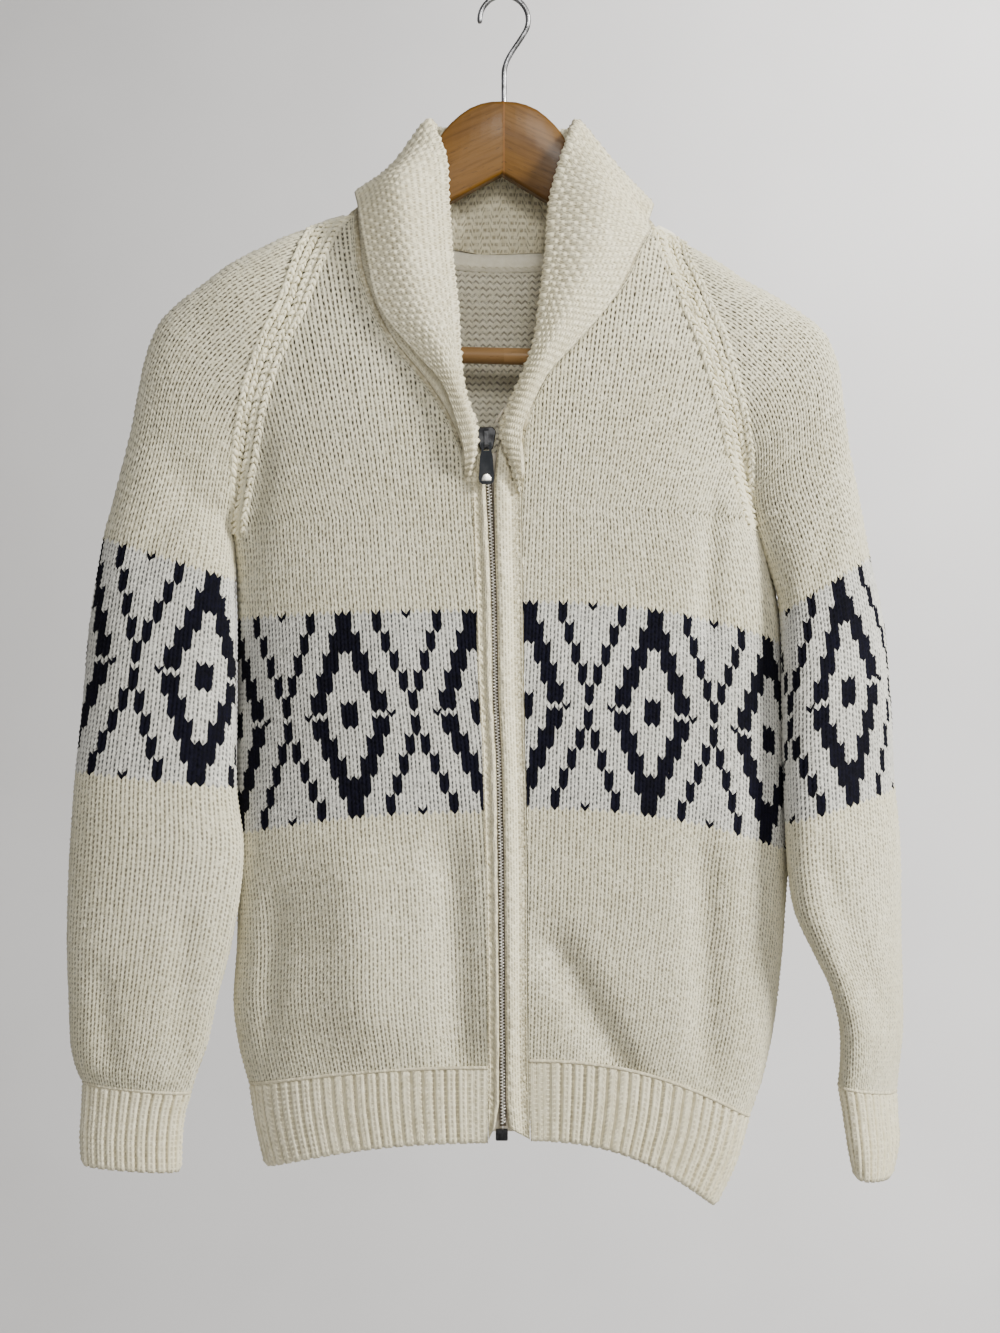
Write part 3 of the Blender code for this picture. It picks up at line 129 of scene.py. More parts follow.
# Right sleeve: front seam x y z, fold at the top and outside x y z, back seam x y z,
# half depth, and how far the section leans back for each millimetre outward.
# Below the armpit the only seam is the one under the arm, so those rows name it once.
SLEEVE_RIGHT = [
    (-102, 9, -143, -104, 15, -144, -102.4, 22, -146, 0, 0),
    (-115.5, 0, -149.5, -123, 6, -150.4, -116, 23, -157, 0, 0),
    (-122, -10, -162, -137.5, 2, -155, -125.4, 24, -171, 1, 0),
    (-129, -18, -180, -155.8, 0, -163.4, -136, 25, -192, 1, 0),
    (-139, -23, -209, -179.5, 0, -175.3, -147.7, 26, -215, 1, 0),
    (-150.5, -25, -232, -197.3, 0, -188.5, -158.4, 26, -236.5, 2, 0),
    (-160, -24, -257, -213.8, 0, -201, -166.4, 25, -257.4, 4, 0),
    (-166, -21, -280.5, -227, 0, -215, -170.8, 23, -278.4, 8, 0),
    (-171.4, -14, -307, -235.6, 0, -236, -174.8, 17, -305.8, 14, 0),
    (-176.7, -6, -331.5, -241, 0, -261, -178.4, 10, -331, 19, 0),
    (-181, 1, -350.8, -245, 0, -283.5, 23, 0),
    (-181, -4, -363, -251.8, -2, -312.7, 24, 0),
    (-180.7, -8, -374.3, -258, -4, -338, 24, 0),
    (-180.4, -11, -386, -263, -6, -359, 23, 0),
    (-180, -13, -431.4, -271, -9, -411.7, 22, 0),
    (-179.7, -15, -477, -275.2, -11, -463, 22, 0),
    (-178.3, -16, -521.6, -280, -12, -511.3, 22, 0),
    (-173, -18, -557.4, -283, -12, -551, 22, 0),
    (-175, -17, -590, -284.8, -12, -587, 21, 0),
    (-180, -14, -623, -285.5, -12, -623, 21, 0),
    (-188.6, -12, -659, -284.4, -11, -659, 20, 0),
    (-194.7, -10, -687, -283.6, -10, -685.8, 19, 0),
    (-202, -9, -707.6, -280.8, -9, -701.7, 17, 0),
    (-206, -8, -720.3, -276, -8, -713, 14, 0),
]

# Left sleeve, in the same order; it hangs turned, so it leans back outward
SLEEVE_LEFT = [
    (98.3, 9, -149.8, 100.7, 15, -150.6, 99.2, 22, -154, 0, 0),
    (109, 0, -158.8, 116, 6, -159.6, 110, 23, -166, 0, 0),
    (112.7, -11, -176, 129.5, 2, -167.7, 118, 24, -184.4, 1, 0),
    (119.3, -18, -191.5, 144, 0, -176.6, 126, 25, -202.4, 1, 0),
    (126, -22, -208, 159.7, 0, -187.2, 134.3, 26, -220.4, 1, 0),
    (135, -25, -229, 179, 0, -197.7, 143, 26, -239.2, 2, 0),
    (142.8, -24, -253.6, 196.7, 0, -209, 149.7, 25, -259.4, 4, 0),
    (150.4, -20, -280.4, 211.2, 0, -221.5, 155.5, 23, -281, 8, 0),
    (156, -13, -305.8, 220.4, 0, -244, 159.6, 17, -304.4, 14, 0),
    (162.2, -6, -326.2, 223.7, 0, -271.6, 163.8, 10, -326.3, 19, 0),
    (169, 1, -345.5, 227.7, 0, -299.4, 23, 0),
    (177, -4, -365.6, 232.3, 0, -323, 25, 0.1),
    (183.5, -9, -384, 236.3, 0, -344, 27, 0.2),
    (187.5, -12, -402.6, 240.2, 0, -364.7, 28, 0.3),
    (188.5, -16, -446.5, 251, 2, -413.5, 29, 0.4),
    (189, -19, -492, 255.4, 4, -463, 30, 0.4),
    (189, -21, -535.7, 258.4, 6, -513.5, 30, 0.5),
    (190, -24, -574.4, 262.3, 9, -556, 29, 0.5),
    (192.5, -26, -599.5, 263.6, 11, -592.8, 28, 0.6),
    (201, -25, -622.3, 264, 12, -623, 27, 0.7),
    (211.8, -23, -648, 264.8, 14, -653, 26, 0.8),
    (218.6, -21, -674, 265, 15, -683, 25, 0.9),
    (219.4, -20, -696, 262.7, 15, -706, 23, 0.95),
    (217.8, -20, -713, 261.3, 15, -723, 20, 0.95),
]
for table in (SLEEVE_RIGHT, SLEEVE_LEFT):
    table[ARMPIT:] = [r[:6] + r[:3] + r[6:] for r in table[ARMPIT:]]

# Ribs: side edge x y z, then band edge x y z
HEM_RIGHT = [
    (-167.7, 4, -715.6, -10.2, -38, -699.6),
    (-163.4, 4, -743, -10.4, -38, -723),
    (-157.3, 2, -769, -10.4, -37, -747.7),
]
HEM_LEFT = [
    (161.8, 4, -737.5, 15.9, -38, -695.1),
    (153, 4, -767.5, 16.4, -38, -720.5),
    (139.4, 2, -795.5, 17.3, -37, -746.4),
]
HEM_BACK_MIDDLE = [(34, -707.7), (34, -727), (32, -746)]

# Cuffs: inner side x y z, outer side x y z, half depth, lean
CUFF_RIGHT = [
    (-206, -8, -720.8, -276, -8, -713.5, 13.5, 0),
    (-210, -8, -734, -276.5, -8, -729, 13, 0),
    (-212, -8, -752, -277.7, -8, -748.5, 13, 0),
    (-212.4, -8, -771.5, -276.7, -8, -767, 13.5, 0),
]
CUFF_LEFT = [
    (217.9, -20, -713.6, 261.2, 15, -723.6, 19.5, 0.95),
    (221.5, -19, -732.5, 261.5, 14, -738, 18, 0.9),
    (225, -17, -754, 262, 12, -756, 17.5, 0.85),
    (230, -15, -775.5, 256.5, 10, -777.5, 17, 0.8),
]

# Collar, from the zip up the right front, round the back and down to the zip.
# Each row: seam, middle of the stand, top of the fold, middle of the fall, free edge
COLLAR = [
    ((-26, -36, -322), (-24.6, -37.4, -322), (-22.4, -38, -321),
     (-23.4, -39.6, -322), (-25.4, -39.4, -322.5)),
    ((-28, -40.5, -303), (-24.5, -44.5, -302), (-18.5, -47.5, -300.5),
     (-21.5, -52, -302), (-25.5, -51.5, -303)),
    ((-33, -40.5, -289), (-27.5, -44.5, -288), (-18.8, -48, -287), (-23, -53, -288), (-29, -51.5, -288)),
    ((-46.5, -39, -262), (-37, -44, -263), (-26, -47, -264), (-31.5, -52.5, -263), (-38.5, -50, -261)),
    ((-67, -36, -238), (-47.5, -42, -240), (-29, -45, -239.5), (-41, -51.5, -240.5), (-56, -45, -240)),
    ((-84.5, -31, -209), (-57, -40, -211.5), (-31, -42, -209.5), (-54, -50, -211.5), (-79.5, -40, -210.5)),
    ((-93.5, -24, -175.5), (-64, -36, -176), (-35, -35, -176), (-61.5, -47, -177), (-88.5, -35, -176)),
    ((-96.5, -9, -150.5), (-66, -27, -142), (-37.5, -27, -141.5), (-65.5, -40, -141), (-93.5, -26, -148)),
    ((-97, 4, -141), (-68, -15, -123), (-39.5, -18, -109), (-68.5, -28, -121), (-95, -14, -139)),
    ((-99, 12, -142), (-72, -2, -120.5), (-48, -7, -86), (-72.5, -10, -115), (-97, -6, -132)),
    ((-101, 16, -143), (-69.5, 7, -122), (-47, 3, -83.5), (-74, 6, -111), (-97.5, 12, -127)),
    ((-92.5, 23, -148), (-67, 16, -124), (-44, 11, -85), (-71, 24, -112.5), (-90, 31, -132)),
    ((-48.5, 28, -165), (-44, 23, -131.5), (-20, 20, -85), (-44.5, 33, -102.5), (-53.5, 38, -136)),
    ((0, 29, -166.5), (0, 23, -128), (0, 24, -86), (0, 35, -102), (0, 41, -135.5)),
    ((48.5, 28, -165), (44, 23, -131.5), (20, 20, -85), (44.5, 33, -102.5), (53.5, 38, -136)),
    ((92, 23, -152), (66.5, 16, -126), (44, 11, -86), (71, 24, -115.5), (91, 32, -138)),
    ((100, 16, -151), (69.5, 7, -125), (47, 3, -84.5), (74.5, 6, -113.5), (97.5, 12, -135)),
    ((98.5, 12, -150.5), (70.5, -1, -124), (46, -5, -86), (73.5, -12, -116), (97, -7, -140)),
    ((95.5, 4, -149.5), (66.5, -15, -127.5), (39, -18, -108.5), (66, -29, -126), (93.5, -14, -151)),
    ((93, -9, -157), (63.5, -27, -146.5), (31.5, -27, -138.5), (63, -40, -145), (93.5, -26, -158)),
    ((86, -20, -171), (58, -36, -176), (28.5, -35, -172.5), (57.5, -47, -175.5), (86, -33, -172)),
    ((66, -30, -205), (45.5, -40, -205.5), (24.5, -42, -202.5), (45, -50, -205), (69, -38, -205)),
    ((44.5, -35, -230.5), (33, -41, -230), (20.5, -45, -230.5), (33, -51, -230), (46.5, -43, -231.5)),
    ((25, -38, -253), (21, -42.5, -251.5), (14, -46.5, -250.5), (21.5, -52, -251), (27.5, -47, -253)),
    ((13.5, -40.5, -279), (10.5, -43.5, -277), (2.5, -48, -276.5), (8, -53, -278.5), (14, -51, -281)),
    ((11, -41, -295.5), (8, -43.5, -294), (-1.5, -48, -292.5), (4, -53, -295), (10.5, -51.5, -297)),
    ((11.8, -41, -311), (9.6, -43, -311), (4.6, -45.6, -309.5), (7, -48.2, -311), (11, -47.2, -312)),
    ((12.4, -36, -328), (11.2, -37, -328), (9, -38, -327), (10, -39.4, -328), (12, -39.2, -328.5)),
]

# Middle of the zip: x y z
ZIP_LINE = [
    (-11.3, -40, -301), (-10, -40, -321), (-7.5, -40, -372.5), (-6.5, -40, -398), (-5.5, -41, -462),
    (-3.3, -41, -501), (-2, -41, -565), (-1.4, -40, -629.5), (-1, -38, -694), (-0.7, -38, -738),
]

# Top edge and underside of the hanger's arm: distance from the middle, z
ARM_TOP = [
    (0, -69), (8, -69.4), (15, -71), (22, -74), (28, -78.3), (34, -83.8), (38.5, -89), (45, -99),
    (55, -115), (66, -132), (80, -149), (99, -164), (115, -173), (138, -183), (158, -192),
    (178, -202), (192, -211), (203, -221), (209, -232), (210, -238),
]
ARM_UNDER = [
    (0, -117), (8, -121.5), (15, -125.5), (22, -129.5), (28, -133), (34, -136.3), (38.5, -138.8),
    (45, -143), (55, -150), (66, -158), (80, -170), (99, -186), (115, -198), (138, -212), (158, -228),
    (178, -248), (192, -251.5), (203, -250), (209, -243), (210, -240),
]
# Half of the arm's thickness: distance from the middle, half thickness
ARM_HALF = [(0, 7.0), (100, 7.5), (180, 9.5), (210, 7.5)]

# Soft folds on the fronts: x z of one end, x z of the other, half width, depth (positive sinks in)
FRONT_FOLDS = [
    (-36, -555, -28, -700, 14, 7.8),
    (-100, -560, -88, -680, 26, -6.7),
    (-150, -590, -156, -690, 10, 5.6),
    (30, -618, 80, -710, 13, 7.8),
    (128, -560, 132, -700, 12, 6.7),
    (136, -332, 131, -420, 8, 4.5),
    (-156, -300, -166, -380, 7, 4.5),
]
SLEEVE_FOLDS = [
    (-206, -600, -212, -705, 9, 2.5),
    (-262, -640, -256, -700, 9, 2.5),
    (-205, -330, -236, -372, 9, 2.0),
    (205, -560, 228, -650, 8, 3.0),
    (224, -600, 250, -680, 8, 2.5),
    (196, -395, 214, -345, 8, 2.0),
]


def unit(v):
    """Vectors scaled to length one."""
    return v / np.maximum(np.linalg.norm(v, axis=-1, keepdims=True), 1e-9)


def smooth(table, at):
    """A smooth curve through the table's rows, read at fractional row numbers."""
    table = np.array(table, float)
    flat = table.reshape(len(table), -1)
    slope = np.gradient(flat, axis=0)
    at = np.clip(np.atleast_1d(np.array(at, float)), 0, len(flat) - 1)
    i = np.minimum(at.astype(int), len(flat) - 2)
    t = (at - i)[:, None]
    a, b, da, db = flat[i], flat[i + 1], slope[i], slope[i + 1]
    value = (
        a * (2 * t**3 - 3 * t**2 + 1)
        + da * (t**3 - 2 * t**2 + t)
        + b * (3 * t**2 - 2 * t**3)
        + db * (t**3 - t**2)
    )
    return value.reshape((len(at),) + table.shape[1:])


def travelled(line):
    """Distance along a line at each of its points."""
    return np.concatenate([[0], np.cumsum(np.linalg.norm(np.diff(line, axis=0), axis=1))])


def on_line(where, travel, line):
    """Points of a line at these values of travel."""
    return np.stack([np.interp(where, travel, line[:, k]) for k in range(3)], axis=1)


def arc_points(line, distances, from_end=False):
    """Points at these distances along a line from its start or its end."""
    travel = travelled(line)
    return on_line(travel[-1] - distances if from_end else distances, travel, line)


def spaced(line, shares):
    """Points at these shares of a line's length."""
    travel = travelled(line)
    return on_line(np.array(shares) * travel[-1], travel, line)


def there_and_back(there, back):
    """One line and then the other one backwards, from the end that they share."""
    return np.concatenate([there, back[-2::-1]])


def paired(a, b):
    """Two arrays spread over one grid, side by side."""
    return np.stack(np.broadcast_arrays(a, b), axis=-1)


def fold_depth(x, z, folds):
    """How far the cloth sinks in at x, z."""
    depth = np.zeros_like(x)
    for x0, z0, x1, z1, width, sink in folds:
        dx, dz = x1 - x0, z1 - z0
        reach = dx * dx + dz * dz
        t = ((x - x0) * dx + (z - z0) * dz) / reach
        off = ((x - x0) * dz - (z - z0) * dx) / math.sqrt(reach)
        fade = np.exp(-((np.maximum(0, np.abs(t - 0.5) - 0.35) / 0.22) ** 2))
        depth += sink * np.exp(-((off / width) ** 2)) * fade
    return depth


# Powers that round off a section; the droop is that of the cloth's rows at the neck
TORSO_ROUND, SLEEVE_ROUND, CAP_ROUND = 2 / 2.6, 2 / 2.3, 2 / 2.2
TORSO_DROOP = 2.3


def round_share(row):
    """0 for the flat rows near the neck, 1 where the section closes below the armpit."""
    return float(np.clip((row - 4.5) / 5.0, 0, 1)) ** 1.3


def torso_line(row, edge, middle):
    """One row of the torso from its side or raglan edge to its middle."""
    t = np.linspace(0, 1, 81)
    angle = t * math.pi / 2
    s = round_share(row)
    across = (1 - s) * t + s * (1 - np.cos(angle) ** TORSO_ROUND)
    depth = (1 - s) * np.sin(angle) + s * np.sin(angle) ** TORSO_ROUND
    fall = 1 - (1 - across) ** TORSO_DROOP
    return edge + (middle - edge) * np.stack([across, depth, fall], axis=1)


def sleeve_half(row, seam, fold, half, tilt, side):
    """Half of a sleeve row from its seam to the fold; side is -1 in front and 1 behind."""
    t = np.linspace(0, 1, 61)
    s = round_share(row)
    c = np.cos(math.pi * t)
    closed = (1 - np.sign(c) * np.abs(c) ** SLEEVE_ROUND) / 2
    across = (1 - s) * np.sin(math.pi * t / 2) ** CAP_ROUND + s * closed
    cap = np.cos(math.pi * t / 2) ** CAP_ROUND
    x, z = (seam[k] + (fold[k] - seam[k]) * across for k in (0, 2))
    y = fold[1] + (seam[1] - fold[1]) * ((1 - s) * cap + s * (1 - across))
    y += side * half * np.sin(math.pi * t) ** SLEEVE_ROUND
    if tilt:
        y += (tilt * abs(fold[0] - seam[0]) - (fold[1] - seam[1])) * (across - 0.5)
    return np.stack([x, y, z], axis=1)


def grid_normals(grid, outward):
    """Unit normals of a grid of points, on the side that outward points to."""
    down = np.gradient(grid, axis=0)
    along = np.gradient(grid, axis=1)
    normal = unit(np.cross(down, along))
    if (normal * outward).sum() < 0:
        normal = -normal
    return normal


def build(name, parts, materials, replaced=(), body="body"):
    """One smooth mesh from parts in millimetres: points, faces, uv of each point, material of each face."""
    mesh = bpy.data.meshes.new(name)
    points = np.concatenate([p[0] for p in parts])
    uvs = np.concatenate([p[2] for p in parts])
    loops, sizes, slots, start = [], [], [], 0
    for part_points, faces, _, index in parts:
        for k, group in enumerate(faces):
            group = np.atleast_2d(np.array(group)) + start
            loops.append(group.ravel())
            sizes += [group.shape[1]] * len(group)
            slots.append(np.broadcast_to(index if k == 0 else 0, len(group)))
        start += len(part_points)
    loops, sizes = np.concatenate(loops), np.array(sizes)
    mesh.vertices.add(len(points))
    mesh.vertices.foreach_set("co", (points * MM).astype(np.float32).ravel())
    mesh.loops.add(len(loops))
    mesh.loops.foreach_set("vertex_index", loops.astype(np.int32))
    mesh.polygons.add(len(sizes))
    starts = np.concatenate([[0], np.cumsum(sizes)[:-1]])
    mesh.polygons.foreach_set("loop_start", starts.astype(np.int32))
    mesh.polygons.foreach_set("material_index", np.concatenate(slots).astype(np.int32))
    mesh.polygons.foreach_set("use_smooth", np.ones(len(sizes), bool))
    layer = mesh.uv_layers.new(name="stitches")
    layer.data.foreach_set("uv", uvs[loops].astype(np.float32).ravel())
    mesh.update(calc_edges=True)
    mesh.validate()
    for material in materials:
        mesh.materials.append(material)
    piece = bpy.data.objects.new(name, mesh)
    bpy.context.scene.collection.objects.link(piece)
    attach(piece, body)
    if replaced:
        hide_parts(*replaced)
    return piece


def grid_faces(rows, columns, flip, loop=False):
    """Quads of a grid; flip turns them round."""
    i, j = np.meshgrid(np.arange(rows - 1), np.arange(columns if loop else columns - 1), indexing="ij")
    n = (j + 1) % columns
    corners = [i * columns + j, i * columns + n, (i + 1) * columns + n, (i + 1) * columns + j]
    quads = np.stack(corners, axis=-1).reshape(-1, 4)
    return quads[:, ::-1] if flip else quads


def crossed(grid):
    """Cross product of the two sides at the first corner of each quad."""
    return np.cross(grid[:-1, 1:] - grid[:-1, :-1], grid[1:, :-1] - grid[:-1, :-1])


def turned_in(grid, normals):
    """True where the quads of this grid would face away from its normals."""
    return float((crossed(grid) * normals[:-1, :-1]).sum()) < 0


def skin_part(grid, normals, uv, valid=None, colours=None):
    """An open surface; stitches with a corner off the piece are left out."""
    quads = grid_faces(*grid.shape[:2], turned_in(grid, normals))
    keep = np.ones(len(quads), bool) if valid is None else valid.ravel()[quads].all(axis=1)
    index = np.zeros(len(quads), int) if colours is None else colours.reshape(-1)
    return grid.reshape(-1, 3), [quads[keep]], uv.reshape(-1, 2), index[keep]


def closed_rings(rings, uv=0.0):
    """A closed solid through rings of points, with flat ends."""
    rings = np.array(rings)
    count, sides = rings.shape[:2]
    quads = grid_faces(count, sides, False, True)
    caps = np.array([np.arange(sides)[::-1], (count - 1) * sides + np.arange(sides)])
    if turned_in(rings, unit(rings - rings.mean(axis=1, keepdims=True))):
        quads, caps = quads[:, ::-1], caps[:, ::-1]
    return rings.reshape(-1, 3), [quads, caps], np.full((count * sides, 2), uv), 0


def wall_part(outer, inner, normals, uv, loop=False):
    """A closed wall between an outer grid and an inner one with as many columns, maybe fewer rows."""
    rows, columns = outer.shape[:2]
    inner_rows = inner.shape[0]
    flip = turned_in(outer, normals)
    start = rows * columns
    front = grid_faces(rows, columns, flip, loop)
    rear = grid_faces(inner_rows, columns, not flip, loop) + start
    j = np.arange(columns if loop else columns - 1)
    n = (j + 1) % columns
    low, deep = (rows - 1) * columns, start + (inner_rows - 1) * columns
    top = np.stack([j, start + j, start + n, n], axis=1)
    bottom = np.stack([low + j, low + n, deep + n, deep + j], axis=1)
    rim = np.concatenate([top, bottom])
    faces = [front, rear, rim[:, ::-1] if flip else rim]
    if not loop:
        for column, way in ((0, 1), (columns - 1, -1)):
            ring = [i * columns + column for i in range(rows)]
            ring += [start + i * columns + column for i in range(inner_rows)][::-1]
            faces.append([ring[:: way * (-1 if flip else 1)]])
    back_uv = uv[np.linspace(0, rows - 1, inner_rows).astype(int)]
    points = np.concatenate([outer.reshape(-1, 3), inner.reshape(-1, 3)])
    return points, faces, np.concatenate([uv.reshape(-1, 2), back_uv.reshape(-1, 2)]), 0


def stitch_rows(path, cuts):
    """Fractional table rows at every half stitch, and the count of stitches above the motif band.

    cuts are the table rows where the knitting starts, the band starts and ends, and the knitting ends.
    """
    above, below = (travelled(path(np.linspace(*ends, 200)))[-1] for ends in (cuts[:2], cuts[2:]))
    counts = round(above / UPPER_ROW), MOTIF_ROWS, round(below / ROW)
    at = np.linspace(cuts[0], cuts[-1], 600)
    travel = travelled(path(at))
    marks = np.interp(cuts, at, travel)
    steps = [np.linspace(a, b, 2 * n + 1)[:-1] for a, b, n in zip(marks, marks[1:], counts)]
    return np.interp(np.concatenate([*steps, [marks[-1]]]), travel, at), counts[0]


# How far the wales have moved along the cloth at each row: row, distance
FRONT_LEAN = [(10, -7.5), (13, -4), (16, 4), (19, 6.5), (22, 7.5)]
SLEEVE_RIGHT_LEAN = [(0, -6), (10, -6), (12.9, -4), (16, 5), (19, 8), (23, 9)]
SLEEVE_LEFT_LEAN = [(0, 4), (10, 3), (13, 2), (16.1, -2), (19, -3), (23, -3)]
BACK_LEAN = [(0, 0), (22, 0)]
# Slope of the fronts' wales above the armpit, beside the zip, for each wale and at most
FAN_START, FAN_STEP, FAN_MOST = 0.05, 0.0095, 0.33
RAGLAN_TRIM = 9.6
EDGE_REACH = 0.3 * WALE

# How far each point of a stitch stands out, by its place across the stitch, on the two lattice rows
LEG_HEIGHT = {0.0: (-0.45, -0.75), 0.25: (0.9, 0.3), 0.5: (-0.1, -1.3), 0.75: (0.9, 0.3)}
V_DROP = 2.0  # the middle of each V lies this many half rows below its two tops
SPREAD = 0.55  # dark stitches crowd their pale neighbours by this much


def drawn_v(grid, across, valid=None):
    """The lattice with the middle of every stitch drawn down, so that rows become lines of V shapes."""
    rows = len(grid)
    drop = V_DROP * (1 - np.abs(across % 1 - 0.5) * 2)
    where = np.clip(np.arange(rows)[:, None] + drop[None] - V_DROP / 2, 0, rows - 1)
    low = np.minimum(where.astype(int), rows - 2)
    t = (where - low)[..., None]
    columns = np.arange(len(across))[None]
    out = grid[low, columns] * (1 - t) + grid[low + 1, columns] * t
    if valid is None:
        return out
    return out, valid[low, columns] & valid[low + 1, columns]


def stitch_heights(rows, across, strength=1.0):
    """How far the points of a lattice stand out from the cloth."""
    table = np.array([LEG_HEIGHT[min(LEG_HEIGHT, key=lambda a: abs(a - x % 1))] for x in across])
    return strength * np.where(np.arange(rows)[:, None] % 2 == 0, table[None, :, 0], table[None, :, 1])


def jitter(shape, amount, seed):
    """Small seeded unevenness."""
    return np.random.default_rng(seed).normal(0, amount, shape)


def motif(wales, rows):
    """1 for the pale ground, 2 for the dark yarn; wales count from the middle of a diamond."""
    half = MOTIF_REPEAT / 2
    from_diamond = np.abs((wales + 0.5 + half) % MOTIF_REPEAT - half)
    from_cross = np.round(np.abs((wales - MOTIF_REPEAT // 2 + half) % MOTIF_REPEAT - half))
    r = np.where(rows > MOTIF_ROWS // 2, MOTIF_ROWS - 1 - rows, rows)
    dark = np.zeros(np.broadcast(wales, rows).shape, bool)
    for first, last, inner, outer in (
        (0, 3, 0, 1), (4, 7, 0, 2), (8, 11, 1, 3), (12, 15, 2, 4), (16, 19, 3, 5), (20, 20, 5, 6),
    ):
        dark |= (r >= first) & (r <= last) & (from_diamond >= inner) & (from_diamond < outer)
    dark |= (r >= 18) & (from_diamond < 1)
    for first, last, offset in ((0, 3, 4), (4, 7, 3), (8, 11, 2), (12, 15, 1), (16, 19, 0)):
        dark |= (r >= first) & (r <= last) & (from_cross == offset)
    dark |= (r == 0) & (from_cross == 0)
    inside = (rows >= 0) & (rows < MOTIF_ROWS)
    return np.where(inside, np.where(dark, 2, 1), 0)


def front_line(table, row):
    """One row of a front from its side or raglan edge to the zip, with its folds."""
    r = smooth(table, row)[0]
    line = torso_line(row, r[:3], r[3:])
    facing = np.clip(-(line[:, 1] + 12) / 20, 0, 1)
    line[:, 1] += fold_depth(line[:, 0], line[:, 2], FRONT_FOLDS) * facing
    return line


def lean(table, row):
    """Value of a short two-column table at a row."""
    return float(np.interp(row, *np.array(table, float).T))


def within(where, length, margin):
    """Which distances lie on a line, or hardly off it."""
    return (where > -EDGE_REACH) & (where < length + EDGE_REACH - margin)


def blank_lattice(rows, wales):
    """Room for a lattice's points, and for which of them lie on the piece."""
    return np.zeros((len(rows), len(wales), 3)), np.zeros((len(rows), len(wales)), bool)


def front_lattice(table, sign, rows, wales, count):
    """Points of a front: upright beside the zip, fanning out to the raglan above the armpit."""
    grid, valid = blank_lattice(rows, wales)
    line = front_line(table, ARMPIT)
    base = arc_points(line, wales * travelled(line)[-1] / count - lean(FRONT_LEAN, ARMPIT), True)
    slope = np.clip(FAN_START + FAN_STEP * wales, FAN_START, FAN_MOST)
    for j, row in enumerate(rows):
        line = front_line(table, row)
        if row >= ARMPIT:
            length = travelled(line)[-1]
            where = wales * length / count - lean(FRONT_LEAN, row)
            grid[j] = arc_points(line, np.clip(where, 0, length), True)
            valid[j] = within(where, length, 0)
            continue
        rise = line[:, 2].mean() - base[:, 2].mean()
        target = base[:, 0] * sign + slope * rise
        along = line[:, 0] * sign
        way = np.argsort(along)
        grid[j] = on_line(target, along[way], line[way])
        near = 2.5 if row < NECK_END else -1
        valid[j] = (target < along.max() - RAGLAN_TRIM) & (target > along.min() + near)
    return grid, valid


def ring_lattice(line_at, centre_at, half_wales, rows, wales, leans):
    """Points of a sleeve or back: wales count both ways from a centre; the raglans cut the rows off."""
    grid, valid = blank_lattice(rows, wales)
    armpit_length = travelled(line_at(ARMPIT))[-1]
    for j, row in enumerate(rows):
        line = line_at(row)
        length = travelled(line)[-1]
        above = row < ARMPIT
        pitch = (armpit_length if above else length) / (2 * half_wales)
        where = centre_at(row) + wales * pitch + lean(leans, row)
        grid[j] = arc_points(line, np.clip(where, 0, length))
        margin = RAGLAN_TRIM if above else 0
        valid[j] = within(where, length, margin) & (where > margin - EDGE_REACH)
    return grid, valid


def knit_skin(grid, valid, outward, wales, first_motif, seed, chart_shift=0.0):
    """Stockinette over a lattice: V shapes of two legs, in the motif's colours."""
    normals = grid_normals(grid, outward)
    rows = len(grid)
    low, ok = drawn_v(grid, wales, valid)
    turned = unit(drawn_v(normals, wales))
    stitch_row = np.arange(rows - 1)[:, None] // 2 - first_motif
    stitch_wale = np.floor(wales[:-1] + 1e-6)[None, :]
    colours = motif(stitch_wale + chart_shift, stitch_row)
    dark = np.pad((colours == 2).astype(float), ((0, 1), (0, 0)), mode="edge")
    onward = np.pad(dark, ((0, 0), (1, 0)), mode="edge") - np.pad(dark, ((0, 0), (0, 1)), mode="edge")
    height = stitch_heights(rows, wales) + jitter((rows, len(wales)), 0.14, seed)
    sway = jitter((rows, len(wales)), 0.12, seed + 50) + SPREAD * onward
    along = unit(np.gradient(grid, axis=1))
    shape = low + turned * height[..., None] + along * sway[..., None]
    uv = paired(wales[None, :], np.arange(rows)[:, None] / 2)
    return skin_part(shape, turned, uv, ok, colours)


def level_points(line, offsets):
    """Points of a line at given sideways distances from its first point."""
    apart = np.maximum.accumulate(np.abs(line[:, 0] - line[0, 0]) + np.arange(len(line)) * 1e-6)
    return on_line(offsets, apart, line)


def strip(line_at, rows, from_end, profile, outward, width, strength=1.7, level=False):
    """A raised border along one end of the rows; profile gives the lift across it."""
    offsets = np.linspace(0.2, width, len(profile))
    if level:
        grid = np.array([level_points(line_at(r), offsets) for r in rows])
    else:
        grid = np.array([arc_points(line_at(r), offsets, from_end) for r in rows])
    normals = grid_normals(grid, outward)
    across = np.round(offsets / (width / 2) * 4) / 4
    low, turned = drawn_v(grid, across), unit(drawn_v(normals, across))
    height = stitch_heights(len(rows), across, strength) + np.array(profile)[None]
    height += jitter(height.shape, 0.34, len(rows))
    height[:, -1] = -1.2
    uv = paired(across[None, :], np.arange(len(rows))[:, None] / 2)
    return skin_part(low + turned * height[..., None], turned, uv)


def even_rows(line_at, end, first, last, step):
    """Fractional rows whose first or last points (end 0 or -1) lie half a step apart."""
    at = np.linspace(first, last, 400)
    travel = travelled(np.array([line_at(r)[end] for r in at]))
    return np.interp(np.linspace(0, travel[-1], 2 * round(travel[-1] / step) + 1), travel, at)


def flat_size(grid):
    """Area of a grid of points, its width along the rows and its length down them, in metres."""
    area = np.linalg.norm(crossed(grid), axis=2).sum() * MM * MM
    width, length = (np.linalg.norm(np.diff(grid, axis=k), axis=2).sum(axis=k).max() * MM for k in (1, 0))
    return area, width, length


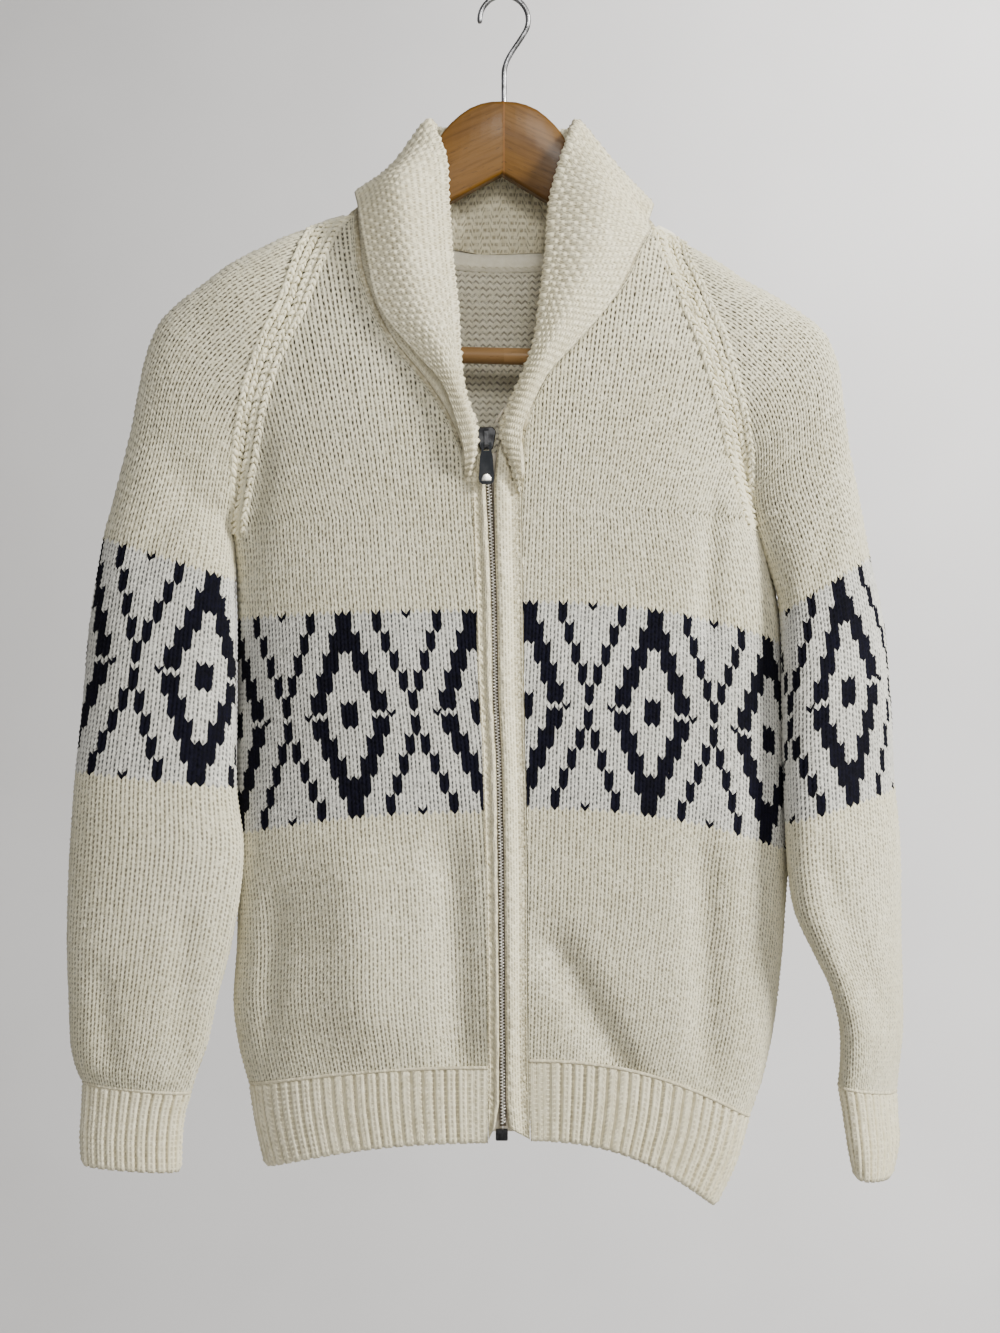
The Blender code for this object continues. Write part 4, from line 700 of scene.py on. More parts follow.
def from_middle(grid):
    """The way out of a ring of points."""
    return grid - grid.mean(axis=1, keepdims=True)


def panel(node, parts, line_at, last_row, columns, outward, inside=()):
    """A knitted piece: its stitches, what shows of its inside, and the plain closed cloth between."""
    pieces = [build(node + "_knit", parts, [CREAM, GROUND, NAVY], [node])]
    for part in inside:
        pieces.append(build(node + "_purl_side", [part], [PURL_PAINTED_LIGHTER], [node]))
    rows = np.arange(0, last_row + 0.1, 0.5)
    shares = np.linspace(0, 1, columns)
    grid = np.array([spaced(line_at(r), shares) for r in rows])
    normals = grid_normals(grid, outward(grid))
    uv = paired(shares[None, :] * columns, rows[:, None] * 6)
    wall = wall_part(grid - normals * CLOTH_DEPTH, grid - normals * WALL, normals, uv)
    cloth = build(node + "_cloth", [wall], [PURL_PAINTED_LIGHTER], [node])
    area, width, length = flat_size(np.array([spaced(line_at(r), np.linspace(0, 1, 40)) for r in rows]))


def dimmed(tint, share):
    """A darker tone of a colour."""
    return tuple(c * share for c in tint)


class Nodes:
    """Short calls for building one material's node tree."""

    def __init__(self, name):
        self.material = bpy.data.materials.new(name)
        self.material.use_nodes = True
        self.tree = self.material.node_tree
        self.shader = self.tree.nodes["Principled BSDF"]
        self.coords = self.tree.nodes.new("ShaderNodeTexCoord")

    def put(self, socket, value):
        if isinstance(value, bpy.types.NodeSocket):
            self.tree.links.new(value, socket)
        else:
            socket.default_value = (*value, 1.0) if isinstance(value, tuple) else value

    def set(self, name, value):
        self.put(self.shader.inputs[name], value)

    def add(self, kind, settings=None, out=0, **inputs):
        node = self.tree.nodes.new("ShaderNode" + kind)
        for key, value in (settings or {}).items():
            setattr(node, key, value)
        for key, value in inputs.items():
            self.put(node.inputs[int(key[1:])] if key[1:].isdigit() else node.inputs[key], value)
        return node.outputs[out]

    def math(self, operation, a, b=0.0):
        return self.add("Math", {"operation": operation}, i0=a, i1=b)

    def times(self, a, b):
        return self.math("MULTIPLY", a, b)

    def plus(self, a, b):
        return self.math("ADD", a, b)

    def minus(self, a, b):
        return self.math("SUBTRACT", a, b)

    def apart(self, a, b):
        return self.math("ABSOLUTE", self.minus(a, b))

    def ramp(self, value, low, high, to_low=0.0, to_high=1.0):
        return self.add("MapRange", {"interpolation_type": "SMOOTHSTEP"},
                        i0=value, i1=low, i2=high, i3=to_low, i4=to_high)

    def noise(self, scale, detail=2.0, vector=None):
        vector = vector or self.coords.outputs["Object"]
        return self.add("TexNoise", Vector=vector, Scale=scale, Detail=detail)

    def mix(self, factor, a, b):
        return self.add("Mix", {"data_type": "RGBA"}, out=2, i0=factor, i6=a, i7=b)

    def split(self, vector):
        node = self.tree.nodes.new("ShaderNodeSeparateXYZ")
        self.put(node.inputs[0], vector)
        return node.outputs

    def join(self, x, y, z):
        return self.add("CombineXYZ", i0=x, i1=y, i2=z)

    def bump(self, height, strength, distance):
        self.set("Normal", self.add("Bump", Height=height, Strength=strength, Distance=distance))


def wool(name, base, shade, gap_shade_colour, gap_shade=0.6, halo=0.25, plies=True, open_top_gap_shade=0.0, purl=False):
    """Fuzzy yarn: blotches of tone, painted shade in the gaps between stitches, fine fibres and twisted
    plies.

    open_top_gap_shade makes the painted shade in the gaps darker towards the shoulders, where the cloth is
    stretched;
    purl draws the shaded gaps as waved lines between the rows.
    """
    n = Nodes(name)
    u, v, _ = n.split(n.coords.outputs["UV"])
    fu, fv = n.math("FRACT", u), n.math("FRACT", v)
    across, inside = n.times(n.apart(fu, 0.5), 2.0), n.apart(fv, 0.5)
    if purl:
        gap_shade_mask = n.ramp(inside, 0.3, 0.08)
    else:
        gap_shade_mask = n.math("MAXIMUM",
                     n.times(n.ramp(across, 0.38, 0.12), n.ramp(inside, 0.5, 0.26)),
                     n.times(n.ramp(across, 0.66, 0.9), n.ramp(n.minus(0.5, inside), 0.5, 0.24)))
    gap_shade_mask = n.times(gap_shade_mask, n.ramp(n.noise(420.0, 3.0), 0.26, 0.56))
    tone = n.plus(n.times(n.noise(14.0, 4.0), 0.35), n.times(n.noise(260.0, 3.0), 0.65))
    tint = n.mix(n.ramp(tone, 0.36, 0.64), shade, base)
    height_up = n.split(n.coords.outputs["Object"])[2]
    gap_shade_strength = n.ramp(height_up, -0.46, -0.22, gap_shade, min(1.0, gap_shade + open_top_gap_shade))
    # Painted shade: where legs and rows part, the colour is mixed towards a dark tone by speck, more towards
    # the shoulders by open_top_gap_shade.
    n.set("Base Color", n.mix(n.times(gap_shade_mask, gap_shade_strength), tint, gap_shade_colour))
    fibre = n.noise(2600.0, 3.0)
    n.set("Roughness", n.ramp(fibre, 0.3, 0.7, 0.82, 1.0))
    n.set("Sheen Weight", halo)
    n.set("Sheen Roughness", 0.45)
    n.set("Sheen Tint", (1.0, 0.97, 0.9))
    n.set("Specular IOR Level", 0.15)
    height = n.plus(n.times(fibre, 0.6), n.noise(900.0, 4.0))
    height = n.minus(height, n.times(gap_shade_mask, 0.7))
    if plies:
        side = n.math("SIGN", n.minus(fu, 0.5))
        slant = n.plus(n.times(v, 4.0), n.times(n.times(u, side), 3.0))
        height = n.plus(height, n.times(n.math("SINE", n.times(slant, 2 * math.pi)), 0.22))
    n.bump(height, 0.55, 0.0007)
    return n.material


def tape_material(name, low, high):
    """Woven zip tape: a fine herringbone of warp and weft."""
    n = Nodes(name)
    x, _, z = n.split(n.coords.outputs["Object"])
    weave = n.times(*(n.math("SINE", n.times(way, 9000.0)) for way in (x, z)))
    n.set("Base Color", n.mix(n.ramp(n.noise(300.0, 3.0), 0.35, 0.65), low, high))
    n.set("Roughness", n.ramp(weave, -1.0, 1.0, 0.75, 0.95))
    n.bump(weave, 0.5, 0.0003)
    return n.material


def metal(name, light, dark, rough):
    """Metal with fine brushing and grime in patches."""
    n = Nodes(name)
    x, y, z = n.split(n.coords.outputs["Object"])
    brushed = n.noise(900.0, 3.0, n.join(n.times(x, 3.0), y, n.times(z, 0.25)))
    n.set("Base Color", n.mix(n.ramp(n.noise(130.0), 0.38, 0.64), dark, light))
    n.set("Metallic", 1.0)
    n.set("Roughness", n.ramp(brushed, 0.3, 0.7, rough, rough + 0.22))
    n.bump(brushed, 0.25, 0.00015)
    return n.material


def wood(name, chevron, dim, lit):
    """Varnished wood: long grain; chevron makes it follow each arm and meet in the middle."""
    n = Nodes(name)
    x, y, z = n.split(n.coords.outputs["Object"])
    along, over = x, z
    if chevron:
        away = n.math("ABSOLUTE", x)
        along = n.minus(n.times(away, 0.92), n.times(z, 0.42))
        over = n.plus(n.times(z, 0.92), n.times(away, 0.42))
    shift = n.times(n.math("SIGN", x), 0.37)
    place = n.join(n.plus(n.times(along, 4.0), shift), n.times(over, 60.0), n.times(y, 40.0))
    fine = n.noise(7.0, 4.0, place)
    pores = n.noise(16.0, 2.0, n.join(n.times(along, 9.0), n.times(over, 60.0), y))
    tint = n.mix(n.ramp(n.noise(1.0, 3.0, place), 0.35, 0.66), dim, lit)
    tint = n.mix(n.ramp(fine, 0.45, 0.7, 0.0, 0.45), tint, dimmed(dim, 0.55))
    tint = n.mix(n.ramp(pores, 0.62, 0.72, 0.0, 0.55), tint, dimmed(dim, 0.4))
    if chevron:
        tint = n.mix(n.times(n.ramp(away, 0.0007, 0.0002), 0.6), tint, (0.2, 0.08, 0.02))
    n.set("Base Color", tint)
    n.set("Roughness", n.ramp(fine, 0.3, 0.7, 0.42, 0.58))
    n.set("Specular IOR Level", 0.22)
    n.set("Coat Weight", 0.1)
    n.set("Coat Roughness", 0.16)
    n.bump(n.plus(fine, pores), 0.12, 0.0004)
    return n.material


# The fourth colour and speck of each yarn paint shade into the gaps between its stitches.
CREAM = wool("cream_wool_knit", (0.92, 0.865, 0.65), (0.76, 0.705, 0.50), (0.05, 0.04, 0.025),
             gap_shade=0.8, open_top_gap_shade=0.2)
GROUND = wool("pale_ground_knit", (0.84, 0.825, 0.75), (0.64, 0.63, 0.57), (0.03, 0.03, 0.035), gap_shade=0.92)
NAVY = wool("navy_motif_knit", (0.004, 0.004, 0.013), (0.002, 0.002, 0.006), (0.001, 0.001, 0.002),
            halo=0.015)
RIB = wool("rib_wool_knit", (0.88, 0.82, 0.61), (0.72, 0.66, 0.46), (0.16, 0.12, 0.07), gap_shade=0.45)
GARTER = wool("collar_wool_knit", (0.87, 0.81, 0.595), (0.71, 0.65, 0.45), (0.16, 0.12, 0.06), plies=False)
# The purl side is the cream yarn painted lighter: painted light for the dim inside of the garment.
PURL_PAINTED_LIGHTER = wool("purl_side_knit_painted_lighter", (0.95, 0.90, 0.73), (0.85, 0.80, 0.62), (0.10, 0.075, 0.045),
            gap_shade=0.7, purl=True)
TAPE = tape_material("zip_tape_weave", (0.62, 0.55, 0.42), (0.78, 0.72, 0.6))
# Dark weave behind the zip teeth: painted shade.
TAPE_PAINTED_SHADE = tape_material("zip_tape_shaded_edge", (0.055, 0.04, 0.025), (0.10, 0.075, 0.05))
BRIGHT = metal("zip_metal_nickel", (0.97, 0.94, 0.87), (0.74, 0.71, 0.65), 0.2)
DARK = metal("slider_gunmetal", (0.075, 0.075, 0.077), (0.025, 0.025, 0.026), 0.24)
GUNMETAL = metal("pull_gunmetal", (0.035, 0.037, 0.04), (0.022, 0.024, 0.027), 0.34)
STEEL = metal("hook_dark_steel", (0.30, 0.30, 0.31), (0.14, 0.14, 0.14), 0.22)
WOOD = wood("varnished_wood_grain", True, (0.09, 0.038, 0.0035), (0.125, 0.056, 0.005))
BAR_WOOD = wood("bar_wood_grain", False, (0.36, 0.20, 0.075), (0.50, 0.30, 0.125))


def tube(path, radius, sides=10):
    """Closed tube along a path."""
    path = np.array(path, float)
    turn = 2 * math.pi * np.arange(sides) / sides
    rings = []
    for point, way, r in zip(path, unit(np.gradient(path, axis=0)), np.broadcast_to(radius, len(path))):
        second = unit(np.cross(way, OUT_BACK))
        third = np.cross(second, way)
        rings.append(point + r * (np.cos(turn)[:, None] * third + np.sin(turn)[:, None] * second))
    return closed_rings(rings)


def chain(path, outward, pitch, leg, seed):
    """A raised column of stitches: two slanting yarn legs for each stitch."""
    count = max(2, round(travelled(path)[-1] / pitch))
    centres = spaced(path, (np.arange(count) + 0.5) / count)
    along = unit(np.gradient(centres, axis=0))
    side = unit(np.cross(along, outward))
    up = unit(np.cross(side, along))
    up *= np.sign((up * outward).sum(axis=1))[:, None]
    polar = np.linspace(0.12, math.pi - 0.12, 5)[:, None]
    about = np.arange(8)[None, :] * math.pi / 4
    radial = paired(np.sin(polar) * np.cos(about), np.sin(polar) * np.sin(about))
    ball = np.concatenate([np.broadcast_to(np.cos(polar)[..., None], (5, 8, 1)), radial], axis=-1)
    loose = np.random.default_rng(seed)
    legs = []
    for k in range(count):
        for hand in (-1, 1):
            size = np.array(leg) * (1 + loose.normal(0, 0.12, 3))
            tilt = hand * (0.5 + loose.normal(0, 0.12))
            ahead = along[k] * math.cos(tilt) + side[k] * math.sin(tilt)
            beside = side[k] * math.cos(tilt) - along[k] * math.sin(tilt)
            place = centres[k] + side[k] * hand * leg[1] * 0.62 + along[k] * loose.normal(0, 0.3)
            place = place + up[k] * loose.normal(0.1, 0.22)
            legs.append(closed_rings(place + (ball * size) @ np.array([ahead, beside, up[k]]), 0.25))
    return legs


# Fronts
OUT_FRONT = np.array([0, -1.0, 0])
OUT_BACK = np.array([0, 1.0, 0])
RIDGE_WIDTH = 11.2
RIDGE_ROW = 4.6
RIDGE_FIRST, RIDGE_LAST, SLEEVE_RIDGE_LAST = 0.5, 10.4, 9.9
RIDGE_PROFILE = np.array([-0.9, 0.2, 0.5, 0.0, 0.0, 1.1, 1.5, 1.2, 0.2])
FRONT_PROFILE = np.array([-1.0, 0.0, 0.2, 0.1, 0.0, 0.0, 0.1, 0.2, 0.2, 0.0, -0.3])
NECK_PROFILE = np.array([0.2, 1.2, 1.7, 1.1, 0.1])
STITCH_LEG = (3.1, 1.35, 1.35)
CORD_ROWS = np.linspace(RIDGE_FIRST, 10.2, 40)
for node, table, sign, count, seed in (
    ("front_right", FRONT_RIGHT, -1, FRONT_WALES[0], 1), ("front_left", FRONT_LEFT, 1, FRONT_WALES[1], 2),
):
    def line_at(row, table=table):
        return front_line(table, row)

    def middle_path(at, line_at=line_at):
        return np.array([spaced(line_at(r), [0.5])[0] for r in at])

    rows, above = stitch_rows(middle_path, [0.15, MOTIF_FROM, MOTIF_TO, LAST_ROW])
    wales = np.arange(-8, 4 * count + 9) / 4
    grid, valid = front_lattice(table, sign, rows, wales, count)
    parts = [knit_skin(grid, valid, OUT_FRONT, wales, above, seed)]
    seam = even_rows(line_at, 0, RIDGE_FIRST, RIDGE_LAST, RIDGE_ROW)
    parts.append(strip(line_at, seam, False, FRONT_PROFILE, OUT_FRONT, RAGLAN_TRIM + 1.6, 1.6, level=True))
    for offset in (2.6, 8.2):
        cord = np.array([level_points(line_at(r), [offset])[0] for r in CORD_ROWS])
        parts += chain(cord + OUT_FRONT * 0.5, OUT_FRONT, RIDGE_ROW, STITCH_LEG, seed + round(offset))
    neck = even_rows(line_at, -1, 0.6, NECK_END, 3.4)
    parts.append(strip(line_at, neck, True, NECK_PROFILE, OUT_FRONT, 5.4))
    panel(node, parts, line_at, LAST_ROW, 30, lambda g: OUT_FRONT)


# Back
def back_line(row, side):
    """One row of the back from its edge on one side to its middle."""
    front, sleeve = (FRONT_RIGHT, SLEEVE_RIGHT) if side < 0 else (FRONT_LEFT, SLEEVE_LEFT)
    edges = [sleeve[k][6:9] if k < ARMPIT else front[k][:3] for k in range(len(front))]
    return torso_line(row, smooth(edges, row)[0], np.array([0.0, *smooth(BACK_MIDDLE, row)[0]]))


def whole_back_line(row):
    """One row of the back from edge to edge."""
    return there_and_back(back_line(row, -1), back_line(row, 1))


def back_middle_path(at):
    return np.array([[0.0, *smooth(BACK_MIDDLE, r)[0]] for r in at])


def back_centre(row):
    """How far the middle of the back lies along its row."""
    return travelled(back_line(row, -1))[-1]


rows, above = stitch_rows(back_middle_path, [0.1, MOTIF_FROM, MOTIF_TO, LAST_ROW])
wales = (np.arange(-BACK_HALF_WALES, BACK_HALF_WALES)[:, None] + [0.0, 0.25, 0.75]).ravel()
wales = np.append(wales, BACK_HALF_WALES)
grid, valid = ring_lattice(whole_back_line, back_centre, BACK_HALF_WALES, rows, wales, BACK_LEAN)
parts = [knit_skin(grid, valid, OUT_BACK, wales, above, 3)]
for side in (-1, 1):
    def line_at(row, side=side):
        return back_line(row, side)

    seam = even_rows(line_at, 0, RIDGE_FIRST, RIDGE_LAST, RIDGE_ROW)
    parts.append(strip(line_at, seam, False, RIDGE_PROFILE, OUT_BACK, RIDGE_WIDTH))

# Inside of the back, seen through the neck opening: purl bumps
INSIDE_HALF_WALES, INSIDE_STITCHES = 13, 62
wales = np.arange(-4 * INSIDE_HALF_WALES, 4 * INSIDE_HALF_WALES + 1) / 4
rows = rows[:2 * INSIDE_STITCHES + 1]
grid = np.array([arc_points(whole_back_line(r), back_centre(r) + wales * WALE) for r in rows])
normals = -grid_normals(grid, OUT_BACK)
phase = np.cos(wales[None, :] * 2 * math.pi)
rise = np.arange(len(rows))[:, None] * math.pi
wave = np.cos(rise) * 1.25 + 0.35 * phase + jitter(grid.shape[:2], 0.16, 4)
shape = grid + normals * (WALL + 1.3 + wave)[..., None]
shape[..., 2] += phase
uv = paired(wales[None, :], np.arange(len(grid))[:, None] / 2)
inside = [skin_part(shape, normals, uv)]
panel("back", parts, whole_back_line, LAST_ROW, 60, lambda g: OUT_BACK, inside)

# Sleeves; below the armpit they rest against the torso
SLEEVE_NEARER = {
    -1: [(8, 0), (10, 3.4), (15, 4.2), (18, 2), (20, 0)],
    1: [(8, 0), (10, 6.5), (15, 7.5), (18, 4), (20, 0)],
}


def sleeve_line(table, row, side):
    """From the front seam (side -1) or the back seam (side 1) to the fold."""
    r = smooth(table, row)[0]
    seam = r[:3] if side < 0 else r[6:9]
    away = 1 if seam[0] > 0 else -1
    nearer = -away * lean(SLEEVE_NEARER[away], row)
    line = sleeve_half(row, seam + [nearer, 0, 0], r[3:6], max(r[9], 0), r[10], side)
    centre = line[:, 1].mean() if side > 0 else (line[0, 1] + line[-1, 1]) / 2
    facing = np.clip(-(line[:, 1] - centre) / 12, 0, 1)
    line[:, 1] += fold_depth(line[:, 0], line[:, 2], SLEEVE_FOLDS) * facing
    return line


for node, table, seed, motif_rows, wale_shift, leans in (
    ("sleeve_right", SLEEVE_RIGHT, 5, (12.95, 15.95), 0, SLEEVE_RIGHT_LEAN),
    ("sleeve_left", SLEEVE_LEFT, 6, (13.1, 16.15), -6, SLEEVE_LEFT_LEAN),
):
    def fold_path(at, table=table):
        return np.array([spaced(sleeve_line(table, r, -1), [0.55])[0] for r in at])

    def ring_at(row, table=table):
        return there_and_back(sleeve_line(table, row, -1), sleeve_line(table, row, 1))

    def fold_at(row, table=table):
        return travelled(sleeve_line(table, row, -1))[-1]

    rows, above = stitch_rows(fold_path, [0.2, *motif_rows, SLEEVE_LAST_ROW])
    wales = np.arange(-4 * SLEEVE_HALF_WALES - 12, 4 * SLEEVE_HALF_WALES + 13) / 4
    grid, valid = ring_lattice(ring_at, fold_at, SLEEVE_HALF_WALES, rows, wales, leans)
    parts = [knit_skin(grid, valid, from_middle(grid), wales, above, seed, wale_shift)]
    for side, facing in ((-1, OUT_FRONT), (1, OUT_BACK)):
        def line_at(row, table=table, side=side):
            return sleeve_line(table, row, side)

        seam = even_rows(line_at, 0, RIDGE_FIRST, SLEEVE_RIDGE_LAST, RIDGE_ROW)
        parts.append(strip(line_at, seam, False, RIDGE_PROFILE * 0.5, facing, RIDGE_WIDTH, 1.6))
        for offset in (2.8, 8.4):
            cord = np.array([arc_points(line_at(r), [offset])[0] for r in CORD_ROWS])
            parts += chain(cord + facing * 0.4, facing, RIDGE_ROW, STITCH_LEG, seed + round(offset))
    panel(node, parts, ring_at, SLEEVE_LAST_ROW, 44, from_middle)


# Sewn edges on the inside of the raglan and neck seams
def allowance(name, first, second, inward, node):
    """A narrow closed ribbon behind the seam between two lines of points."""
    flat = unit(unit(second - first) * [1.0, 0.0, 1.0]) * ALLOWANCE
    grid = np.stack([first - flat, first, second, second + flat], axis=1)
    normals = np.broadcast_to(-inward, grid.shape)
    wall = wall_part(grid + inward * (WALL + 0.2), grid + inward * (WALL + 1.3), normals,
                     np.zeros(grid.shape[:2] + (2,)))
    piece = build(name, [wall], [PURL_PAINTED_LIGHTER], [node])
    length = travelled(first)[-1]


seam_rows = np.linspace(0, 10.6, 60)
behind_rows = seam_rows[:52]
for side, front, node, sleeve in (
    (-1, FRONT_RIGHT, "sleeve_right", SLEEVE_RIGHT), (1, FRONT_LEFT, "sleeve_left", SLEEVE_LEFT),
):
    apart = np.array([side * 0.4, 0.0, 0.2])
    on_front = np.array([front_line(front, r)[0] for r in seam_rows])
    on_sleeve = np.array([sleeve_line(sleeve, r, -1)[0] for r in seam_rows])
    allowance(node + "_front_seam", on_front - apart, on_sleeve + apart, OUT_BACK, node)
    on_back = np.array([back_line(r, side)[0] for r in behind_rows])
    on_sleeve = np.array([sleeve_line(sleeve, r, 1)[0] for r in behind_rows])
    allowance(node + "_back_seam", on_back - apart, on_sleeve + apart, OUT_FRONT, node)

neck_line = spaced(whole_back_line(0), np.linspace(0.02, 0.98, 60))
allowance("neck_seam", neck_line, neck_line + [0, 0, 1.4], OUT_FRONT, "collar")

# Ribbing: a raised stitch and a narrow groove in turn
HEM_PITCH, CUFF_PITCH = 7.3, 6.6
RIB_ACROSS = np.array([0.0, 0.12, 0.26, 0.42, 0.62, 0.8, 0.9])
# Lift of each point, how much it beats from row to row, and how far its rows curve
RIB_SHAPE = np.array([
    (-1.5, -0.5, 0.95, 0.55, 0.55, 0.95, -0.5),
    (0.1, 0.2, 0.35, 0.25, 0.25, 0.35, 0.2),
    (0.0, 0.0, 0.5, 1.2, 1.2, 0.5, 0.0),
])
# The same for the plain stitches beside a band, and how wide they are
PLAIN_SHAPE = np.array([[*[-0.9, 0.4, 0.0, 0.4] * 3, -0.9, 0.4], [0.3] * 14, [0.0] * 14])
PLAIN_WIDTH = 13.0


def ribbed(node, lines, pitch, outward, seed, plain=0.0, loop=False):
    """A strip of ribs between a few lines that run across it."""
    table = np.array(lines)
    length = travelled(table[len(table) // 2])[-1]
    count = max(1, round((length - plain) / pitch))
    across = (np.arange(count)[:, None] + RIB_ACROSS[None]).ravel() / count * (1 - plain / length)
    ends, extra = [], RIB_SHAPE[:, :0]
    if plain:
        ends, extra = np.linspace(1 - plain / length, 1, PLAIN_SHAPE.shape[1]), PLAIN_SHAPE
    elif not loop:
        ends, extra = [1.0], RIB_SHAPE[:, :1]
    across = np.append(across, ends)
    lift, beat, rise = np.concatenate([np.tile(RIB_SHAPE, count), extra], axis=1)
    down = travelled(table[:, 40])[-1]
    at = np.linspace(0, len(table) - 1, 2 * round(down / ROW) + 1)
    grid = np.array([spaced(smooth(table, r)[0], across) for r in at])
    normals = grid_normals(grid, outward(grid))
    if loop:
        normals[:, 0] = unit(normals[:, 0] + normals[:, -1])
    steps = np.arange(len(at))[:, None]
    height = lift + np.where(steps % 2 == 0, 1.0, -1.0) * beat + jitter(grid.shape[:2], 0.1, seed)
    height[0] *= 0.4
    height[-1] = -0.9 + 0.2 * lift
    height[-2] *= 0.6
    outer = grid + normals * height[..., None]
    outer[-1] += unit(grid[-1] - grid[-2]) * (0.4 + 0.44 * np.clip(lift, -1, 1))[:, None]
    inner = (grid - normals * (WALL + 0.3))[[0, len(grid) // 2, -1]]
    uv = paired((across * count)[None, :], steps / 2 + rise[None] * 0.5)
    # A yarn tube along the top seam; with uv 0 it lies wholly in the wool's painted shade for the stitches'
    # gaps, so it is drawn darker: painted shade along the seam.
    join = grid[0] + [0, 0, 0.5]
    if loop:
        join = np.concatenate([join, join[:1]])
    parts = [wall_part(outer, inner, normals, uv, loop), tube(join, 1.15, 8)]
    piece = build(node + "_knit", parts, [RIB], [node])


for node, table, seed in (("hem_rib_front_right", HEM_RIGHT, 11), ("hem_rib_front_left", HEM_LEFT, 12)):
    lines = [torso_line(LAST_ROW, r[:3], r[3:]) for r in np.array(table)]
    ribbed(node, lines, HEM_PITCH, lambda g: OUT_FRONT, seed, plain=PLAIN_WIDTH)
lines = []
for right, left, middle in zip(HEM_RIGHT, HEM_LEFT, HEM_BACK_MIDDLE):
    halves = [torso_line(LAST_ROW, np.array(r[:3]), np.array([0.0, *middle])) for r in (right, left)]
    lines.append(there_and_back(*halves))
ribbed("hem_rib_back", lines, HEM_PITCH, lambda g: OUT_BACK, 13)
for node, table, seed in (("cuff_right", CUFF_RIGHT, 14), ("cuff_left", CUFF_LEFT, 15)):
    lines = []
    for r in np.array(table):
        halves = [sleeve_half(LAST_ROW, r[:3], r[3:6], r[6], r[7], side) for side in (-1, 1)]
        lines.append(there_and_back(*halves))
    ribbed(node, lines, CUFF_PITCH, from_middle, seed, loop=True)

# Shawl collar: the same strip as in the frame, with ridges across it and bumps along each ridge
COLLAR_ROLL = 3.0
COLLAR_WALL = 3.6
COLLAR_PITCH = 4.2
BUMP_PITCH = 5.4
BUMP_STEPS, RIDGE_STEPS, INNER_STEP = 4, 4, 6


def evened(values, passes):
    """Values evened out along their second axis."""
    for _ in range(passes):
        middle = (values[:, :-2] + 2 * values[:, 1:-1] + values[:, 2:]) / 4
        values = np.concatenate([values[:, :1], middle, values[:, -1:]], axis=1)
    return values


def across_strip(seam, stand, roll, fall, edge):
    """The strip's section: up the stand, round the roll and down the fall."""
    tip = unit(roll - (stand + fall) / 2)
    side = fall - stand
    side = unit(side - tip * (side * tip).sum(axis=-1, keepdims=True)) * COLLAR_ROLL
    corner = roll - tip * COLLAR_ROLL
    return np.stack([
        seam, (seam + stand) / 2 + (stand - seam) * 0.08, stand * 0.6 + (corner - side) * 0.4,
        corner - side, roll, corner + side, fall, edge,
    ])


def neck_points():
    """The whole neck edge, from one end of the collar to the other."""
    down_front = np.linspace(0, 8, 40)
    right = [front_line(FRONT_RIGHT, r)[-1] for r in down_front[::-1]]
    left = [front_line(FRONT_LEFT, r)[-1] for r in down_front]
    right += [*front_line(FRONT_RIGHT, 0)[::-1], *sleeve_line(SLEEVE_RIGHT, 0, -1)]
    left = [*sleeve_line(SLEEVE_LEFT, 0, -1)[::-1], *front_line(FRONT_LEFT, 0), *left]
    return np.array([*right, *sleeve_line(SLEEVE_RIGHT, 0, 1)[::-1], *whole_back_line(0),
                     *sleeve_line(SLEEVE_LEFT, 0, 1), *left])


def collar_surface():
    """Coarse grid of the folded strip from the seam to the free edge, its normals and its ridges."""
    table = np.array(COLLAR, float)
    fine = np.linspace(0, len(COLLAR) - 1, 241)
    travel = sum(travelled(smooth(table[:, k], fine)) for k in (2, 3)) / 2
    ridges = round(travel[-1] / COLLAR_PITCH)
    stations = smooth(table, np.interp(np.linspace(0, travel[-1], 2 * ridges + 1), travel, fine))
    neck = spaced(neck_points(), np.linspace(0, 1, 900))
    far = np.linalg.norm(neck[None] - stations[:, :1], axis=2)
    on_edge = neck[far.argmin(axis=1)]
    backward = np.clip((on_edge[:, 1:2] - 14) / 8, 0, 1)
    snapped = on_edge + unit(stations[:, 1] - on_edge) * (2.4 - 1.8 * backward)
    share = np.clip((12 - far.min(axis=1)) / 6, 0, 1)[:, None]
    stations[:, 0] = snapped * share + stations[:, 0] * (1 - share)
    grid = across_strip(*(stations[:, k] for k in range(5)))
    grid[1:3] = evened(grid[1:3], 2)
    out = np.zeros_like(grid)
    out[6:] = (grid[6:] - grid[2][None]) / 10
    return grid, unit(evened(grid_normals(grid, out), 6)), ridges


def finer(values, at_rows, at_columns):
    """Values of a coarse grid at fractional rows and columns."""
    return smooth(np.swapaxes(smooth(values, at_rows), 0, 1), at_columns).swapaxes(0, 1)


coarse, coarse_normals, ridges = collar_surface()
widths = np.linalg.norm(np.diff(coarse, axis=0), axis=2).mean(axis=1)
travel = np.concatenate([[0], np.cumsum(widths)])
bumps = round(travel[-1] / BUMP_PITCH)
at_across = np.interp(np.linspace(0, travel[-1], BUMP_STEPS * bumps + 1), travel, np.arange(len(coarse)))
at_along = np.linspace(0, coarse.shape[1] - 1, ridges * RIDGE_STEPS + 1)
grid = finer(coarse, at_across, at_along)
normals = unit(finer(coarse_normals, at_across, at_along))
ridge_place = np.arange(grid.shape[1])[None, :] / RIDGE_STEPS
half_turn = np.where(np.floor(ridge_place) % 2 == 0, 0.0, 0.5)
bump_place = np.arange(len(grid))[:, None] / BUMP_STEPS + half_turn
on_ridge = np.cos(2 * math.pi * (ridge_place - 0.5))
on_bump = np.cos(2 * math.pi * bump_place)
height = 0.5 * on_ridge + (0.2 + 0.5 * (on_ridge + 1) / 2) * on_bump + jitter(grid.shape[:2], 0.13, 21)
rim = np.minimum(np.arange(len(grid)), np.arange(len(grid))[::-1])
